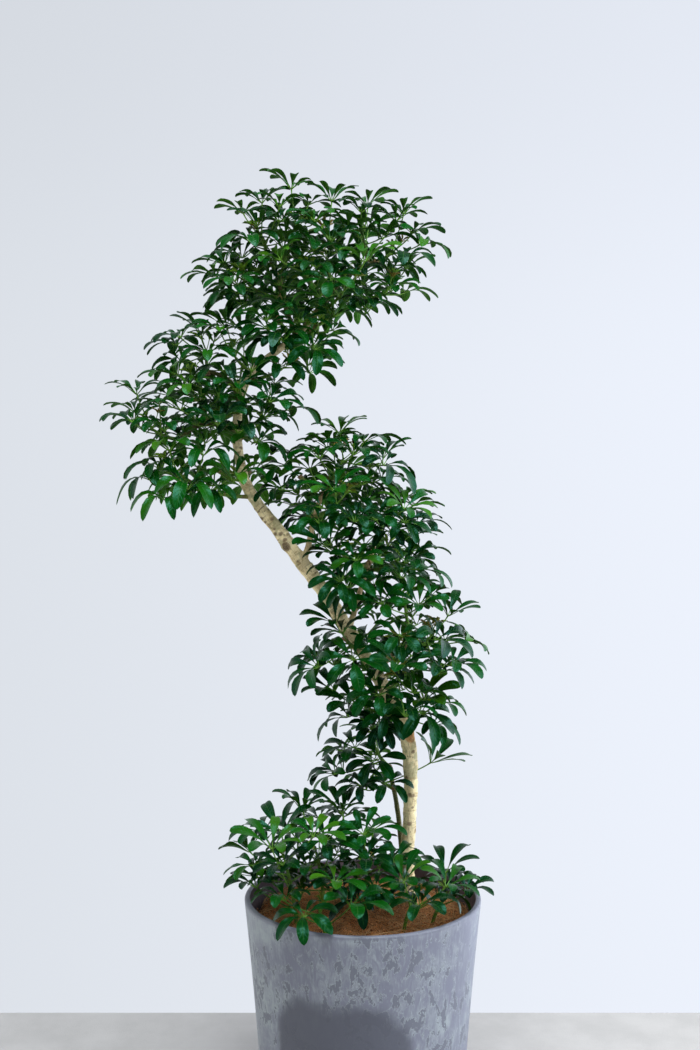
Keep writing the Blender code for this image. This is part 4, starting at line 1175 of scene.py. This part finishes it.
def off_the_pot(points):
    """Whether all the points are clear of the pot's wall and of the fibre."""
    for p in points:
        from_wall = math.hypot(p.x, p.y) - pot_radius(p.z)
        if p.z < POT_HEIGHT + 4 and -POT_WALL - 3 < from_wall < 5:
            return False
        if from_wall < 0 and p.z < mat_height(p.x, p.y) + 5:
            return False
    return True


def hides_wood(hub):
    """What a leaf with this hub is worth for the covered stretch of wood that it hangs before."""
    for x, y, z, worth in covered_wood:
        over = HIDES_ABOVE[0] < hub.z - z < HIDES_ABOVE[1]
        if over and hub.y < y - HIDES_AHEAD and abs(hub.x - x) < HIDES_BESIDE:
            return worth
    return 0


def further_leaf(name, stem, crowd, draw):
    """One more leaf on a stem: of the clear places that the draws find, the one with most room."""
    low, high = (Vector(corner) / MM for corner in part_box(name))
    stalks = FURTHER[name.split("_")[0]][1]
    best, most = None, LEAST_ROOM
    for _ in range(FURTHER_TRIES):
        root = stem[draw.randrange(len(stem) // 4, len(stem))]
        turn, lift = draw.uniform(0, 2 * math.pi), draw.uniform(*FURTHER_LIFT)
        out = Vector((math.cos(turn), math.sin(turn), 0)) * math.cos(lift) + UP * math.sin(lift)
        hub = root + out * draw.uniform(*stalks)
        loose = Vector([draw.uniform(-0.3, 0.3) for _ in range(3)])
        normal = (out * 0.5 + UP * 0.75 + loose).normalized()
        leaflets = open_leaf(hub, normal, out, draw.choice((7, 8)), draw.uniform(*FURTHER_SIZE), draw)
        points, faces = leaf_kites(hub, leaflets, root + out * 4, CLOSENESS)
        if not in_box(points, low, high, BOX_SPARE) or not off_the_pot(points[:-3]):
            continue
        room = (crowd.room_round(hub) + hides_wood(hub)) * share_in_masses(points[:-3]) ** 4
        if room > most and crowd.is_clear(points, faces):
            best, most = (hub, normal, leaflets, root), room
    return best


covered_wood = [
    (*row[:3], worth)
    for line, covered, worth in zip((wood_lines[0], second_line), (COVERED_TRUNK, COVERED_STEM), WORTH)
    for row in line
    if any(low < row[2] < high for low, high in covered)
]
leafy_nodes = sorted(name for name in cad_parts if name.split("_")[0] in FURTHER)
crowd = Crowd()
for name in ("trunk", "second_stem", "pot"):
    crowd.add(*weld(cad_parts[name]))
shoots = {}
for name in leafy_nodes:
    shoots[name] = read_shoot(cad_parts[name])
    for hub, _, leaflets, root in shoots[name][0]:
        crowd.add(*leaf_kites(hub, leaflets, root))
        crowd.hubs.append(hub)
further = {name: [] for name in leafy_nodes}
draws = {name: random.Random("leaves " + name) for name in leafy_nodes}
for turn in range(max(count for count, _ in FURTHER.values())):
    for name in leafy_nodes:
        if turn < FURTHER[name.split("_")[0]][0]:
            leaf = further_leaf(name, shoots[name][1], crowd, draws[name])
            if leaf:
                crowd.add(*leaf_kites(leaf[0], leaf[2], leaf[3] + (leaf[0] - leaf[3]) * 0.1))
                crowd.hubs.append(leaf[0])
                further[name].append(leaf)
for name in leafy_nodes:
    leaves, stem = shoots[name]
    growth = make_shoot(name, leaves, further[name], stem, draws[name])
    piece = growth.piece(name + "_leaves", leaf_finishes)
    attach(piece, "root")
    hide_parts(name)

# The place of the picture: a pale concrete floor that ends a little behind the pot, a bright pale room
# beyond it, soft lamps above and to the right, and a camera level with the middle of the tree.
FLOOR_EDGE = 345
FLOOR_REACH = 4
FLOOR_GREY = (0.50, 0.487, 0.47)
FLOOR_DARK = (0.44, 0.428, 0.413)
ROOM_LEFT = (0.70, 0.735, 0.785)
ROOM_RIGHT = (0.86, 0.905, 1.0)
ROOM_SHADE = (1.5, 1.54, 1.58)
ROOM_WINDOW = (3.2, 3.45, 4.1)
ROOM_TOP = 0.08
ROOM_FRONT = 0.7
CEILING = 0.4
CAMERA_AT = (-19.9, -1730, 918)
LENS = 37.8
SENSOR = 36
# Each lamp's place, size and power in watts, and its colour
LAMPS = {
    "window": ((2.15, -0.75, 1.9), 1.8, 44, (0.97, 0.985, 1)),
    "sky": ((0.0, -1.0, 3.0), 1.5, 92, (0.93, 0.97, 1)),
}
LAMPS_AIM = Vector((0, 0, 0.8))

floor_finish, start, shader = new_finish("pale_concrete", Specular_IOR_Level=0.3)
place = start.place()
cloud = place.noise(9, 4, 0.6)
grit = place.noise(420, 2, 0.6)
tone = (cloud * 0.75 + grit * 0.25).rise(0.35, 0.65)
connect(shader, start, grit, 0.3, Base_Color=tone.paint(FLOOR_DARK, FLOOR_GREY), Roughness=0.75 + grit * 0.1)
edge = FLOOR_EDGE * MM
reach = FLOOR_REACH
corners = [(-reach, -reach, 0), (reach, -reach, 0), (reach, edge, 0), (-reach, edge, 0)]
floor = add_piece("floor", corners, [(0, 1, 2, 3)], [floor_finish])

world = bpy.data.worlds.new("studio")
bpy.context.scene.world = world
world.use_nodes = True
start = Wire(world.node_tree)
right, back, up = start.node("TexCoord", output="Generated").parts()
room = right.rise(-0.55, 0.5).paint(ROOM_LEFT, ROOM_RIGHT)
ahead = 1 - back.rise(-0.4, 0.4)
dim = up.rise(0.1, 0.45) * ROOM_TOP + up.rise(0.45, 0.8) * CEILING + ahead * ROOM_FRONT
room = dim.paint(room, (0, 0, 0))
room = (1 - right.rise(-0.9, -0.5)).paint(room, ROOM_SHADE)
room = (right.rise(0.45, 0.85) * (1 - up.rise(0.3, 0.7))).paint(room, ROOM_WINDOW)
world.node_tree.links.new(room.socket, world.node_tree.nodes["Background"].inputs["Color"])

for name, (place, size, power, colour) in LAMPS.items():
    lamp = bpy.data.lights.new(name, "AREA")
    lamp.shape = "SQUARE"
    lamp.size = size
    lamp.energy = power
    lamp.color = colour
    made = bpy.data.objects.new(name, lamp)
    made.location = place
    made.rotation_euler = (LAMPS_AIM - Vector(place)).to_track_quat("-Z", "Y").to_euler()
    bpy.context.scene.collection.objects.link(made)

lens = bpy.data.cameras.new("camera")
lens.lens = LENS
lens.sensor_width = SENSOR
lens.sensor_fit = "AUTO"
camera = bpy.data.objects.new("camera", lens)
camera.location = Vector(CAMERA_AT) * MM
camera.rotation_euler = (math.radians(90), 0, 0)
bpy.context.scene.collection.objects.link(camera)
bpy.context.scene.camera = camera

bpy.context.view_layer.update()
